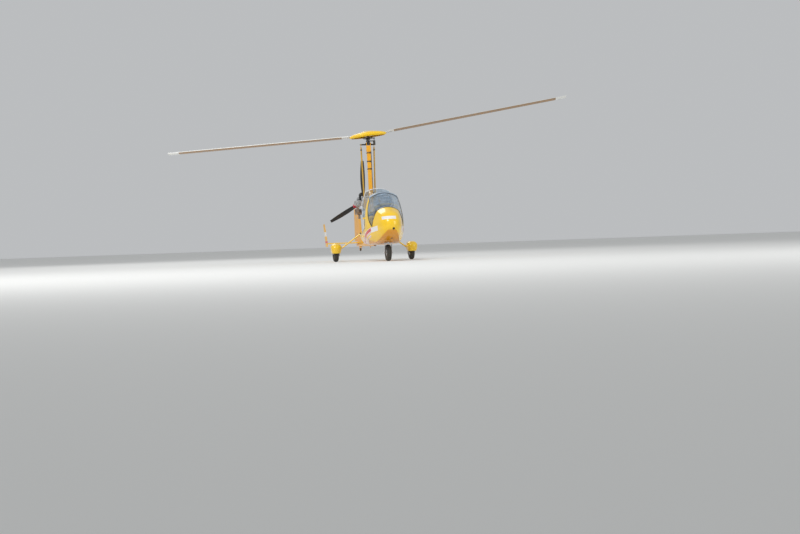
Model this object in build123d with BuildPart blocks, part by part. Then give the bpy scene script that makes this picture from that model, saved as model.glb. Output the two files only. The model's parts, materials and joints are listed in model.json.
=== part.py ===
from build123d import *
import os
from math import cos, hypot, radians, sin, tan

# Two-seat open gyrocopter, seats in tandem, pusher propeller, teetering two-blade rotor.
# Millimetres and degrees. +X is forward, +Y is the port side, +Z is up, and Z = 0 is the ground.
# A station is a distance ahead of the main wheels' axle, which stands at AXLE_X.

os.makedirs("parts", exist_ok=True)

# Overall places
AXLE_X = 50
WHEEL_BASE = 1800
TRACK = 1600
TAIL_STATION = -2500
SIDES = (("left", 1), ("right", -1))


def at(station):
    """X of a station."""
    return AXLE_X + station


# Body shell: one row for each section across the body
# station, bottom, corner y, corner z, waist y, waist z, shoulder y, shoulder z, top
BODY_ROWS = (
    (2350, 690, 20, 697, 30, 722, 20, 747, 755),
    (2325, 618, 70, 638, 102, 718, 72, 800, 828),
    (2260, 548, 118, 572, 168, 712, 122, 862, 905),
    (2120, 465, 165, 492, 232, 706, 172, 932, 990),
    (1900, 388, 212, 414, 290, 700, 215, 1000, 1078),
    (1700, 352, 250, 376, 343, 680, 245, 1100, 1205),
    (1500, 334, 276, 356, 386, 665, 272, 1275, 1368),
    (1200, 322, 285, 344, 392, 640, 290, 1330, 1440),
    (700, 332, 275, 352, 374, 620, 300, 1330, 1440),
    (300, 372, 245, 390, 330, 610, 270, 1280, 1380),
    (60, 410, 205, 425, 274, 600, 235, 1230, 1310),
)
NOSE_ROWS = 5
SIDE_BULGE = 0.26
BODY_WALL = 8
GLASS_WALL = 4
RIM_WALL = 10

# Side view of the cockpit opening, as (station, z)
SEAM_TOP = (1915, 1075)
NOTCH = (1820, 684)
SILL_FRONT = (1390, 672)
SILL_DIP = (1080, 612)
SILL_MIDDLE = (700, 565)
SILL_LOW = (300, 562)
SILL_REAR = (60, 590)
OPENING_TOP = 1700
OPENING_REAR = -60
RIM_TOP = (1512, 1400)
RIM_REAR_TOP = (1468, 1400)
RIM_FRONT_MIDDLE = (1572, 930)
RIM_REAR_MIDDLE = (1362, 980)
RIM_REAR_FOOT = (1440, 673.4)

# Rear windscreen
REAR_GLASS_TOP = 1480
REAR_GLASS_RADIUS = 420
REAR_GLASS_LEAN = 16
REAR_GLASS_HALF = 335
REAR_GLASS_SHOULDER = (250, 1420)
REAR_GLASS_SIDE_TOP = 1160
GLASS_LOW_SIDE = 890
GLASS_LOW_MIDDLE = 930
GLASS_SLOT = 0.5
COAMING_WALL = 14
COAMING_DEPTH = 34
OUTLINE_STEPS = 12

# Bulkhead between the seats
BULKHEAD_STATION = 960
BULKHEAD_THICKNESS = 20
BULKHEAD_TOP = 930

# Seats
SEAT_HALF_WIDTH = 205
# name, rear station, front station, base foot, base top, cushion, back foot station, back top station,
# back top
SEAT_ROWS = (
    ("front", 1045, 1470, 340, 500, 70, 1035, 985, 905),
    ("rear", 175, 640, 385, 520, 70, 165, 92, 1040),
)
BACK_THICKNESS = 60
BACK_STEP = 12
PAD_EDGE = 18
REAR_SHELL_HALF_WIDTH = 225
REAR_SHELL_THICKNESS = 8

# Instrument panel, control sticks and pitot tube
PANEL_STATION = 1700
PANEL_Z = 900
PANEL_LEAN = 15
PANEL_THICKNESS = 22
PANEL_BOX_DEPTH = 60
DIAL_RADIUS = 40
DIAL_Y = 110
STICK_STATIONS = (1560, 780)
# foot, top and radius of each length of a stick
STICK_ROWS = ((305, 360, 30), (357, 657, 10), (657, 777, 17))
PITOT_STATION = 2250
PITOT_Y = 40
PITOT_Z = 640
PITOT_RADIUS = 7
PITOT_LENGTH = 150

# Keel, mast and rotor attitude
KEEL_RADIUS = 32
KEEL_WALL = 4
KEEL_Z = 335
KEEL_TOP = KEEL_Z + KEEL_RADIUS
KEEL_FRONT_STATION = 230
KEEL_REAR_STATION = -2120
TIE_DOWN_STATION = -400
TIE_DOWN_Z = 290
TIE_DOWN_RADIUS = 8
TIE_DOWN_THICKNESS = 10
MAST_DEPTH = 60
MAST_WIDTH = 80
MAST_WALL = 4
MAST_LENGTH = 2044
MAST_LEAN = 6
MAST_FOOT_PLATE = 8
MAST_CAP = 10
COLLAR_LENGTH = 110
CHEEK_GAP = 6
CHEEK_THICKNESS = 10
CHEEK_RADIUS = 24
PIVOT_ABOVE_MAST = 58
PIVOT_RADIUS = 8
DISC_TILT = 8
TEETER_LEAN = 4.5
CONING = 2.9

# Rotor head
HEAD_BLOCK_HALF = 30
BEARING_FOOT = 42
BEARING_TOP = 98
BEARING_LIP = 12
PINION_RADIUS = 18
PINION_GAP = 6
RING_GEAR_RADIUS = 105
RING_GEAR_TEETH = 48
RING_GEAR_FOOT = 105
RING_GEAR_THICKNESS = 12
TOOTH_DEPTH = 5
TOOTH_WIDTH = 6.5
TOWER_CHEEK_X = 32
TOWER_CHEEK_THICKNESS = 12
TEETER_RADIUS = 8
BOLT_HEAD_RADIUS = 13

# Rotor, parked with its port blade turned ahead
ROTOR_TURN = -12
ROTOR_RADIUS = 4225
BLADE_ROOT = 400
BLADE_CHORD = 215
BLADE_NOSE_OFFSET = 60
TEETER_HEIGHT = 225
HUB_BAR_DROP = 55
HUB_BAR_WIDTH = 50
HUB_BAR_THICKNESS = 28
HUB_BAR_REACH = 520
FAIRING_HALF_LENGTH = 395
FAIRING_HALF_WIDTH = 130
FAIRING_RISE = 72
FAIRING_DROP = 34
FAIRING_WALL = 4
FAIRING_SEAM = 4

# Control rods
ROD_ARM = 120
ROD_TOP_Y = 140
ROD_FOOT_Y = 100
ROD_RADIUS = 16
ROD_PIN_RADIUS = 6
ROD_EYE_RADIUS = 16
ROD_EYE_THICKNESS = 14
ROD_NECK = 60
MIXER_HEIGHT = 195
MIXER_BEHIND_MAST = 70
MIXER_TUBE_RADIUS = 15

# Wheels
TYRE_RADIUS = 165
TYRE_WIDTH = 100
RIM_RADIUS = 82
HUB_RADIUS = 24
MAIN_AXLE_RADIUS = 12.5
NOSE_AXLE_RADIUS = 10
AXLE_GAP = 0.2
TOW_BORE_RADIUS = 6
TAIL_WHEEL_RADIUS = 36
TAIL_WHEEL_WIDTH = 24
TAIL_WHEEL_STATION = -1750
TAIL_WHEEL_Z = 236
TAIL_PIN_RADIUS = 6
# name, station, middle y, bore radius
WHEEL_ROWS = (
    ("left", 0, TRACK / 2, MAIN_AXLE_RADIUS + AXLE_GAP),
    ("right", 0, -TRACK / 2, MAIN_AXLE_RADIUS + AXLE_GAP),
    ("nose", WHEEL_BASE, 0, NOSE_AXLE_RADIUS + AXLE_GAP),
)

# Main gear legs and wheel fairings
LEG_ROOT_Z = 728
LEG_FOOT_Y = 714
LEG_FOOT_Z = 252
LEG_CHORD = 100
LEG_THICKNESS = 30
LEG_LENGTH = hypot(LEG_FOOT_Y - MAST_WIDTH / 2, LEG_ROOT_Z - LEG_FOOT_Z)
KNUCKLE_THICKNESS = 18
KNUCKLE_WIDTH = 64
KNUCKLE_FOOT_Z = 130
# height, nose ahead of the axle, tail behind the axle, half width
SPAT_ROWS = (
    (176, 200, 285, 84),
    (215, 210, 310, 98),
    (265, 216, 332, 110),
    (310, 211, 325, 110),
    (352, 178, 262, 90),
    (380, 110, 150, 50),
)
SPAT_WALL = 4

# Nose gear
STEER_STATION = 1840
FORK_HALF = 68
FORK_RADIUS = 11
FORK_CROWN_Z = 350
STEER_RADIUS = 14
STEER_TOP_Z = 560
STEER_HOUSING_TOP_Z = 535
FORK_CLEARANCE = 8

# Tail
FIN_ROOT_LEAD = -1430
FIN_TIP_LEAD = -1730
FIN_TRAIL = -2035
FIN_TOP_REAR_Z = 1120
FIN_TOP_FRONT_Z = 1040
# height, leading station, thickness
FIN_ROWS = (
    (KEEL_TOP, FIN_ROOT_LEAD, 46),
    (1160, FIN_TIP_LEAD, 36),
)
HINGE_HEIGHTS = (560, 940)
HINGE_PIN_RADIUS = 4
RUDDER_HINGE = -2060
RUDDER_NOSE_RADIUS = 16
RUDDER_FOOT_Z = 416
STAB_FRONT = -1800
STAB_REAR = -2150
STAB_THICKNESS = 36
STAB_Z = KEEL_TOP + STAB_THICKNESS / 2
STAB_HALF_SPAN = 710
TAIL_SKIN = 4
END_FIN_CANT = 5
# height, leading station, trailing station, thickness
END_FIN_ROWS = (
    (318, -1830, -2165, 22),
    (640, -1880, -2175, 22),
    (812, -1945, -2180, 16),
)

# Engine and propeller
CRANK_Z = 1220
CRANKCASE_FRONT = -330
CRANKCASE_REAR = -700
CRANKCASE_HALF_WIDTH = 92
CRANKCASE_HALF_HEIGHT = 95
CYLINDER_RADIUS = 50
CYLINDER_REACH = 195
FIN_COUNT = 7
FIN_RADIUS = 60
FIN_PITCH = 14
FIN_THICKNESS = 5
HEAD_REACH = 280
CYLINDER_PITCH = 150
CYLINDER_STAGGER = 30
GEARBOX_LENGTH = 150
FLANGE_LENGTH = 90
AIRBOX_Z = 1405
AIRBOX_STATION = -610
AIRBOX_SIZE = (170, 330, 76)
INTAKE_STATION = -530
INTAKE_Y = 165
INTAKE_RADIUS = 26
FILTER_STATION = -760
FILTER_Y = -150
FILTER_Z = 1165
SILENCER_STATION = -800
SILENCER_Z = 1040
SILENCER_RADIUS = 62
SILENCER_HALF = 230
SILENCER_WALL = 4
PORT_Y = 222
PIPE_RADIUS = 18
TAIL_PIPE_Y = -150
TAIL_PIPE_RADIUS = 24
CRADLE_Y = 62
CRADLE_Z = 1085
CRADLE_RADIUS = 14
CRADLE_FRONT = -75
CRADLE_REAR = -680
STRUT_FOOT = (-30, 56, 640)
CROSS_BAR_STATIONS = (-380, -640)
RADIATOR_STATION = -165
RADIATOR_Y = 300
RADIATOR_Z = 1215
RADIATOR_SIZE = (50, 250, 300)
PROP_Z = 1285
PROP_STATION = -1065
PROP_RADIUS = 850
PROP_BLADES = 3
PROP_HUB_RADIUS = 74
PROP_HUB_HALF = 32
# radius, chord, thickness, angle of the blade to the disc
PROP_ROWS = (
    (75, 46, 34, 46),
    (200, 84, 20, 38),
    (420, 104, 14, 27),
    (650, 92, 10, 20),
    (PROP_RADIUS, 58, 6, 16),
)


def across(station):
    """Plane across the body at a station, with Y across and Z up."""
    return Plane(origin=(at(station), 0, 0), x_dir=(0, 1, 0), z_dir=(1, 0, 0))


def body_section(row, station, inset):
    """One closed section of the body, drawn inwards by inset."""
    _, bottom, corner_y, corner_z, waist_y, waist_z, shoulder_y, shoulder_z, top = row
    low = bottom + inset
    high = top - inset
    corner = (corner_y - 0.7 * inset, corner_z + 0.9 * inset)
    waist = (waist_y - inset, waist_z)
    shoulder = (shoulder_y - 0.8 * inset, shoulder_z - 0.7 * inset)
    low_mid = bulged(corner, waist)
    high_mid = bulged(waist, shoulder)
    with BuildSketch(across(station)) as section:
        with BuildLine():
            ThreePointArc((-corner[0], corner[1]), (0, low), corner)
            ThreePointArc(corner, low_mid, waist)
            ThreePointArc(waist, high_mid, shoulder)
            ThreePointArc(shoulder, (0, high), (-shoulder[0], shoulder[1]))
            ThreePointArc((-shoulder[0], shoulder[1]), (-high_mid[0], high_mid[1]), (-waist[0], waist[1]))
            ThreePointArc((-waist[0], waist[1]), (-low_mid[0], low_mid[1]), (-corner[0], corner[1]))
        make_face()
    return section.sketch


def bulged(start, end):
    """Middle of an arc between two points of a section, pushed outwards."""
    rise = end[1] - start[1]
    run = end[0] - start[0]
    push = SIDE_BULGE * abs(run) / hypot(run, rise)
    return ((start[0] + end[0]) / 2 + push * rise, (start[1] + end[1]) / 2 - push * run)


def body_form(inset):
    """The whole body as one solid, drawn inwards by inset."""
    sections = []
    for index, row in enumerate(BODY_ROWS):
        station = row[0]
        if index < NOSE_ROWS:
            station -= inset
        if index == len(BODY_ROWS) - 1:
            station += inset
        sections.append(body_section(row, station, inset))
    with BuildPart() as form:
        loft(sections=sections)
    return form.part


def side_point(point):
    """A (station, z) pair as a point of the side view."""
    return (at(point[0]), point[1])


def from_starboard(station, y, z):
    """Plane of a side view at a point, with local X forward and Y up."""
    return Plane(origin=(at(station), y, z), x_dir=(1, 0, 0), z_dir=(0, -1, 0))


def cylinder_station(side, index):
    """Station of one cylinder, the banks standing a little apart along the engine."""
    middle = (CRANKCASE_FRONT + CRANKCASE_REAR) / 2
    return middle + index * CYLINDER_PITCH / 2 + side * CYLINDER_STAGGER / 2


def lens(plane, lead, trail, thickness, trail_thickness):
    """A streamlined outline on a plane, its length along the plane's X, rounded in front."""
    widest = lead - 0.35 * (lead - trail)
    half = thickness / 2
    tip = trail_thickness / 2
    swell = ((widest + trail) / 2, (half + tip) / 2 + 0.06 * thickness)
    with BuildSketch(plane) as outline:
        with BuildLine():
            EllipticalCenterArc((widest, 0), lead - widest, half, start_angle=-90, arc_size=180)
            ThreePointArc((widest, half), swell, (trail, tip))
            Line((trail, tip), (trail, -tip))
            ThreePointArc((trail, -tip), (swell[0], -swell[1]), (widest, -half))
        make_face()
    return outline.sketch


# Body shell, windscreen and rim, all cut from one form so that their seams meet
body_outer = body_form(0)
body_inner = body_form(BODY_WALL)

with BuildPart() as body_shell:
    add(body_outer)
    add(body_inner, mode=Mode.SUBTRACT)
    with BuildSketch(Plane.XZ) as opening:
        with BuildLine():
            Polyline(side_point(SEAM_TOP), side_point(NOTCH), side_point(SILL_FRONT))
            ThreePointArc(side_point(SILL_FRONT), side_point(SILL_DIP), side_point(SILL_MIDDLE))
            Polyline(
                side_point(SILL_MIDDLE),
                side_point(SILL_LOW),
                side_point(SILL_REAR),
                side_point((OPENING_REAR, SILL_REAR[1])),
                side_point((OPENING_REAR, OPENING_TOP)),
                side_point((SEAM_TOP[0], OPENING_TOP)),
                side_point(SEAM_TOP),
            )
        make_face()
    extrude(amount=600, both=True, mode=Mode.SUBTRACT)
    with Locations((at(STEER_STATION), 0, BODY_ROWS[4][1])):
        Cylinder(STEER_RADIUS + FORK_CLEARANCE, 120, mode=Mode.SUBTRACT)
body_shell.part.label = "body_shell"
export_step(body_shell.part, "parts/body_shell.step")

with BuildPart() as windscreen:
    add(body_outer)
    add(body_form(GLASS_WALL), mode=Mode.SUBTRACT)
    with BuildSketch(Plane.XZ) as glass_side:
        with BuildLine():
            Polyline(
                side_point(RIM_TOP),
                side_point((SEAM_TOP[0], OPENING_TOP)),
                side_point(SEAM_TOP),
                side_point(NOTCH),
            )
            ThreePointArc(side_point(NOTCH), side_point(RIM_FRONT_MIDDLE), side_point(RIM_TOP))
        make_face()
    extrude(amount=600, both=True, mode=Mode.INTERSECT)
windscreen.part.label = "windscreen"
export_step(windscreen.part, "parts/windscreen.step")

with BuildPart() as windscreen_rim:
    add(body_outer)
    add(body_form(RIM_WALL), mode=Mode.SUBTRACT)
    with BuildSketch(Plane.XZ) as rim_side:
        with BuildLine():
            ThreePointArc(side_point(NOTCH), side_point(RIM_FRONT_MIDDLE), side_point(RIM_TOP))
            Polyline(side_point(RIM_TOP), side_point(RIM_REAR_TOP))
            ThreePointArc(side_point(RIM_REAR_TOP), side_point(RIM_REAR_MIDDLE), side_point(RIM_REAR_FOOT))
            Line(side_point(RIM_REAR_FOOT), side_point(NOTCH))
        make_face()
    extrude(amount=600, both=True, mode=Mode.INTERSECT)
    add(body_shell.part, mode=Mode.SUBTRACT)
windscreen_rim.part.label = "windscreen_rim"
export_step(windscreen_rim.part, "parts/windscreen_rim.step")

# Bulkhead between the seats, which carries the rear windscreen

def rear_glass_band(wall, top_points, low_side, low_middle):
    """The part of the rear windscreen's curved sheet between two lines of its front view."""
    lean_x = Vector(cos(radians(REAR_GLASS_LEAN)), 0, sin(radians(REAR_GLASS_LEAN)))
    lean_up = Vector(-sin(radians(REAR_GLASS_LEAN)), 0, cos(radians(REAR_GLASS_LEAN)))
    foot = Vector(at(BULKHEAD_STATION) + BULKHEAD_THICKNESS / 2, 0, BULKHEAD_TOP)
    middle = foot - lean_x * REAR_GLASS_RADIUS - lean_up * 200
    with BuildPart() as band:
        with BuildSketch(Plane(origin=middle, x_dir=lean_x, z_dir=lean_up)):
            with BuildLine():
                CenterArc((0, 0), REAR_GLASS_RADIUS, -62, 124)
                offset(amount=wall / 2)
            make_face()
        extrude(amount=840)
        with BuildSketch(across(0)):
            with BuildLine():
                Polyline((-REAR_GLASS_HALF, low_side), *top_points)
                Line(top_points[-1], (REAR_GLASS_HALF, low_side))
                ThreePointArc(
                    (REAR_GLASS_HALF, low_side), (0, low_middle), (-REAR_GLASS_HALF, low_side)
                )
            make_face()
        extrude(amount=1400, mode=Mode.INTERSECT)
    return band.part


def arc_points(start, middle, end):
    """Points along an arc of the front view."""
    arc = ThreePointArc(start, middle, end)
    shares = [step / OUTLINE_STEPS for step in range(OUTLINE_STEPS + 1)]
    return [(point.X, point.Y) for point in arc.positions(shares)]


glass_outline = [
    (-REAR_GLASS_HALF, REAR_GLASS_SIDE_TOP),
    *arc_points(
        (-REAR_GLASS_SHOULDER[0], REAR_GLASS_SHOULDER[1]), (0, REAR_GLASS_TOP), REAR_GLASS_SHOULDER
    ),
    (REAR_GLASS_HALF, REAR_GLASS_SIDE_TOP),
]
coaming_outline = arc_points(
    (-REAR_GLASS_HALF, GLASS_LOW_SIDE), (0, GLASS_LOW_MIDDLE), (REAR_GLASS_HALF, GLASS_LOW_SIDE)
)

with BuildPart() as rear_windscreen:
    glass_low = (GLASS_LOW_SIDE + GLASS_SLOT, GLASS_LOW_MIDDLE + GLASS_SLOT)
    add(rear_glass_band(GLASS_WALL, glass_outline, *glass_low))
rear_windscreen.part.label = "rear_windscreen"
export_step(rear_windscreen.part, "parts/rear_windscreen.step")

with BuildPart() as seat_bulkhead:
    with BuildSketch(across(BULKHEAD_STATION)):
        with BuildLine():
            Polyline((-250, 300), (250, 300), (400, 560), (345, 600), (300, BULKHEAD_TOP - 70))
            ThreePointArc((300, BULKHEAD_TOP - 70), (0, BULKHEAD_TOP - 10), (-300, BULKHEAD_TOP - 70))
            Polyline((-300, BULKHEAD_TOP - 70), (-345, 600), (-400, 560), (-250, 300))
        make_face()
    extrude(amount=BULKHEAD_THICKNESS)
    add(body_inner, mode=Mode.INTERSECT)
    coaming_low = (GLASS_LOW_SIDE - COAMING_DEPTH, GLASS_LOW_MIDDLE - COAMING_DEPTH)
    add(rear_glass_band(COAMING_WALL, coaming_outline, *coaming_low))
seat_bulkhead.part.label = "seat_bulkhead"
export_step(seat_bulkhead.part, "parts/seat_bulkhead.step")

# Seats: padded cushions and backs
for name, rear, front, foot, base_top, cushion, back_foot, back_top, back_z in SEAT_ROWS:
    with BuildPart() as seat_pads:
        with BuildSketch(Plane.XZ):
            with BuildLine():
                Polyline(
                    (at(rear) + BACK_THICKNESS + 8, base_top + 3.5),
                    (at(front), base_top + 20.5),
                    (at(front), base_top + 20 + cushion),
                    (at(rear) + BACK_THICKNESS + 8, base_top + 3 + cushion),
                    close=True,
                )
            make_face()
        extrude(amount=SEAT_HALF_WIDTH - 8, both=True)
        with BuildSketch(Plane.XZ):
            with BuildLine():
                Polyline(
                    (at(back_foot) + BACK_STEP, base_top + 3),
                    (at(back_foot) + BACK_STEP + BACK_THICKNESS, base_top + 3),
                    (at(back_top) + BACK_STEP + BACK_THICKNESS - 15, back_z),
                    (at(back_top) + BACK_STEP, back_z),
                    close=True,
                )
            make_face()
        extrude(amount=SEAT_HALF_WIDTH - 15, both=True)
        fillet(seat_pads.edges().filter_by(Axis.Y), PAD_EDGE)
    seat_pads.part.label = f"{name}_seat_pads"
    export_step(seat_pads.part, f"parts/{name}_seat_pads.step")

# Firm seat bases in the tub, the rear one with the white shell that holds its back
with BuildPart() as seat_shells:
    for name, rear, front, foot, base_top, cushion, back_foot, back_top, back_z in SEAT_ROWS:
        with BuildSketch(Plane.XZ):
            with BuildLine():
                Polyline(
                    (at(rear), foot - 60),
                    (at(front) - 60, foot - 60),
                    (at(front), base_top + 20),
                    (at(rear), base_top),
                    close=True,
                )
            make_face()
        extrude(amount=SEAT_HALF_WIDTH, both=True)
    add(body_inner, mode=Mode.INTERSECT)
    with BuildSketch(Plane.XZ):
        with BuildLine():
            Polyline(
                (at(back_foot) - 4, base_top - 30),
                (at(back_foot) + 20, base_top - 30),
                (at(back_foot) + 20, base_top + 1),
                (at(back_foot) + 10, base_top + 1),
                (at(back_top) + 10, back_z + 10),
                (at(back_top), back_z + 10),
                close=True,
            )
        make_face()
    extrude(amount=REAR_SHELL_HALF_WIDTH, both=True)
    with BuildSketch(Plane.XZ):
        with BuildLine():
            Polyline(
                (at(back_foot) + 10, base_top - 30),
                (at(back_foot) + 110, base_top - 30),
                (at(back_foot) + 110, base_top + 30),
                (at(back_top) + 60, back_z - 60),
                (at(back_top) + 10, back_z + 10),
                close=True,
            )
        make_face()
    extrude(amount=REAR_SHELL_HALF_WIDTH, both=True)
    with BuildSketch(Plane.XZ):
        with BuildLine():
            Polyline(
                (at(back_foot) + 10, base_top + 2),
                (at(back_foot) + 150, base_top + 2),
                (at(back_top) + 150, back_z + 20),
                (at(back_top) + 10, back_z + 20),
                (at(back_top) + 10, back_z + 10),
                close=True,
            )
        make_face()
    extrude(amount=REAR_SHELL_HALF_WIDTH - REAR_SHELL_THICKNESS, both=True, mode=Mode.SUBTRACT)
seat_shells.part.label = "seat_shells"
export_step(seat_shells.part, "parts/seat_shells.step")

# Instrument panel below the front windscreen
with BuildPart() as instrument_panel:
    panel_plane = Plane(
        origin=(at(PANEL_STATION), 0, PANEL_Z),
        x_dir=(0, 1, 0),
        z_dir=(-cos(radians(PANEL_LEAN)), 0, sin(radians(PANEL_LEAN))),
    )
    with BuildSketch(panel_plane):
        with BuildLine():
            Polyline((-215, -130), (215, -130), (240, 40))
            ThreePointArc((240, 40), (0, 130), (-240, 40))
            Polyline((-240, 40), (-215, -130))
        make_face()
        with Locations((-DIAL_Y, 10), (DIAL_Y, 10)):
            Circle(DIAL_RADIUS, mode=Mode.SUBTRACT)
    extrude(amount=-PANEL_THICKNESS)
    with BuildSketch(panel_plane.offset(-PANEL_THICKNESS)):
        Rectangle(440, 200)
    extrude(amount=-PANEL_BOX_DEPTH)
    add(body_inner, mode=Mode.INTERSECT)
instrument_panel.part.label = "instrument_panel"
export_step(instrument_panel.part, "parts/instrument_panel.step")

with BuildPart() as control_sticks:
    for station in STICK_STATIONS:
        for foot, stick_top, radius in STICK_ROWS:
            with BuildSketch(Plane.XY.offset(foot)):
                with Locations((at(station), 0)):
                    Circle(radius)
            extrude(amount=stick_top - foot)
    add(body_inner, mode=Mode.INTERSECT)
control_sticks.part.label = "control_sticks"
export_step(control_sticks.part, "parts/control_sticks.step")

with BuildPart() as pitot_tube:
    with BuildSketch(across(PITOT_STATION)):
        with Locations((PITOT_Y, PITOT_Z)):
            Circle(PITOT_RADIUS)
    extrude(amount=PITOT_LENGTH)
    add(body_outer, mode=Mode.SUBTRACT)
pitot_tube.part.label = "pitot_tube"
export_step(pitot_tube.part, "parts/pitot_tube.step")

# Keel tube and mast
with BuildPart() as keel:
    with BuildSketch(across(KEEL_REAR_STATION)):
        with Locations((0, KEEL_Z)):
            Circle(KEEL_RADIUS)
    extrude(amount=KEEL_FRONT_STATION - KEEL_REAR_STATION)
    with BuildSketch(from_starboard(TIE_DOWN_STATION, 0, TIE_DOWN_Z)):
        Circle(TIE_DOWN_RADIUS + 11)
        with Locations((0, (KEEL_Z - TIE_DOWN_Z) / 2)):
            Rectangle(2 * (TIE_DOWN_RADIUS + 11), KEEL_Z - TIE_DOWN_Z)
        Circle(TIE_DOWN_RADIUS, mode=Mode.SUBTRACT)
    extrude(amount=TIE_DOWN_THICKNESS / 2, both=True)
    with BuildSketch(Plane.XY.offset(TAIL_WHEEL_Z + TAIL_WHEEL_RADIUS + 8)):
        with Locations((at(TAIL_WHEEL_STATION), 0)):
            Rectangle(60, 46)
    extrude(amount=40)
    for side in (-1, 1):
        with BuildSketch(from_starboard(TAIL_WHEEL_STATION, side * 20, TAIL_WHEEL_Z)):
            Circle(14)
            with Locations((0, (TAIL_WHEEL_RADIUS + 9) / 2)):
                Rectangle(28, TAIL_WHEEL_RADIUS + 9)
        extrude(amount=3, both=True)
    with BuildSketch(across(KEEL_REAR_STATION)):
        with Locations((0, KEEL_Z)):
            Circle(KEEL_RADIUS - KEEL_WALL)
    extrude(amount=KEEL_FRONT_STATION - KEEL_REAR_STATION, mode=Mode.SUBTRACT)
    with BuildSketch(from_starboard(TAIL_WHEEL_STATION, 0, TAIL_WHEEL_Z)):
        Circle(TAIL_PIN_RADIUS)
    extrude(amount=20, both=True)
keel.part.label = "keel"
export_step(keel.part, "parts/keel.step")

mast_plane = Plane(
    origin=(AXLE_X, 0, KEEL_TOP),
    x_dir=(cos(radians(MAST_LEAN)), 0, sin(radians(MAST_LEAN))),
    z_dir=(-sin(radians(MAST_LEAN)), 0, cos(radians(MAST_LEAN))),
)
mixer_origin = mast_plane.from_local_coords((-MIXER_BEHIND_MAST, 0, MIXER_HEIGHT))
with BuildPart() as mast:
    with BuildSketch(mast_plane):
        RectangleRounded(MAST_DEPTH, MAST_WIDTH, 12)
        RectangleRounded(MAST_DEPTH - 2 * MAST_WALL, MAST_WIDTH - 2 * MAST_WALL, 8, mode=Mode.SUBTRACT)
    extrude(amount=MAST_LENGTH)
    extrude(mast.faces().sort_by(Axis.Z)[0], amount=40)
    with BuildSketch(Plane.XY.offset(KEEL_TOP)):
        with Locations((AXLE_X, 0)):
            Rectangle(140, 120)
    extrude(amount=MAST_FOOT_PLATE)
    split(bisect_by=Plane.XY.offset(KEEL_TOP), keep=Keep.TOP)
    with BuildSketch(mast_plane.offset(MAST_LENGTH - COLLAR_LENGTH)):
        RectangleRounded(MAST_DEPTH + 16, MAST_WIDTH + 16, 18)
        RectangleRounded(MAST_DEPTH - 4, MAST_WIDTH - 4, 10, mode=Mode.SUBTRACT)
    extrude(amount=COLLAR_LENGTH)
    with BuildSketch(mast_plane.offset(MAST_LENGTH)):
        RectangleRounded(MAST_DEPTH + 16, MAST_WIDTH + 16, 18)
    extrude(amount=MAST_CAP)
    cheek_y = HEAD_BLOCK_HALF + CHEEK_GAP
    for side in (-1, 1):
        cheek_plane = Plane(
            origin=mast_plane.from_local_coords((0, side * (cheek_y + CHEEK_THICKNESS / 2), MAST_LENGTH)),
            x_dir=mast_plane.x_dir,
            z_dir=(0, -1, 0),
        )
        with BuildSketch(cheek_plane):
            with Locations((0, PIVOT_ABOVE_MAST)):
                Circle(CHEEK_RADIUS)
            with Locations((0, PIVOT_ABOVE_MAST / 2)):
                Rectangle(2 * CHEEK_RADIUS, PIVOT_ABOVE_MAST)
            with Locations((0, PIVOT_ABOVE_MAST)):
                Circle(PIVOT_RADIUS + 0.1, mode=Mode.SUBTRACT)
        extrude(amount=CHEEK_THICKNESS / 2, both=True)
    with BuildSketch(mast_plane.offset(MIXER_HEIGHT - 28)):
        with Locations((-MAST_DEPTH / 2 - 33, 0)):
            Rectangle(70, 70)
    extrude(amount=56)
    with BuildSketch(Plane(origin=mixer_origin, x_dir=(1, 0, 0), z_dir=(0, -1, 0))):
        Circle(MIXER_TUBE_RADIUS + 0.2)
    extrude(amount=60, both=True, mode=Mode.SUBTRACT)
mast.part.label = "mast"
export_step(mast.part, "parts/mast.step")

# Rotor head, drawn about the pivot with its shaft along the local Z
head_origin = mast_plane.from_local_coords((0, 0, MAST_LENGTH + PIVOT_ABOVE_MAST))
head_plane = Plane(
    origin=head_origin,
    x_dir=(cos(radians(DISC_TILT)), 0, sin(radians(DISC_TILT))),
    z_dir=(-sin(radians(DISC_TILT)), 0, cos(radians(DISC_TILT))),
)


def head_side(local_y):
    """Plane of the rotor head's side view at a distance to port, seen from starboard."""
    return Plane(
        origin=head_plane.from_local_coords((0, local_y, 0)),
        x_dir=head_plane.x_dir,
        z_dir=(0, -1, 0),
    )


with BuildPart() as rotor_head:
    with BuildSketch(head_side(0)):
        Rectangle(2 * 26, 2 * 26)
        with Locations((0, 20)):
            Rectangle(2 * 26, 44)
    extrude(amount=HEAD_BLOCK_HALF, both=True)
    with BuildSketch(head_side(0)):
        Circle(PIVOT_RADIUS)
    extrude(amount=62, both=True)
    for side in (-1, 1):
        with BuildSketch(head_side(side * 56)):
            RegularPolygon(BOLT_HEAD_RADIUS, 6)
        extrude(amount=4, both=True)
    with BuildSketch(head_side(0)):
        with Locations((-(26 + ROD_ARM) / 2, 0)):
            Rectangle(ROD_ARM - 26, 28)
    extrude(amount=14, both=True)
    with BuildSketch(head_side(0)):
        with Locations((-ROD_ARM, 0)):
            Circle(15)
    extrude(amount=ROD_TOP_Y - ROD_EYE_THICKNESS / 2 - 6, both=True)
    with BuildSketch(head_side(0)):
        with Locations((-ROD_ARM, 0)):
            Circle(ROD_PIN_RADIUS)
    extrude(amount=ROD_TOP_Y + 20, both=True)
    for side in (-1, 1):
        with BuildSketch(head_side(side * (ROD_TOP_Y + 17))):
            with Locations((-ROD_ARM, 0)):
                Circle(12)
        extrude(amount=3, both=True)
rotor_head.part.label = "rotor_head"
export_step(rotor_head.part, "parts/rotor_head.step")

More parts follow.
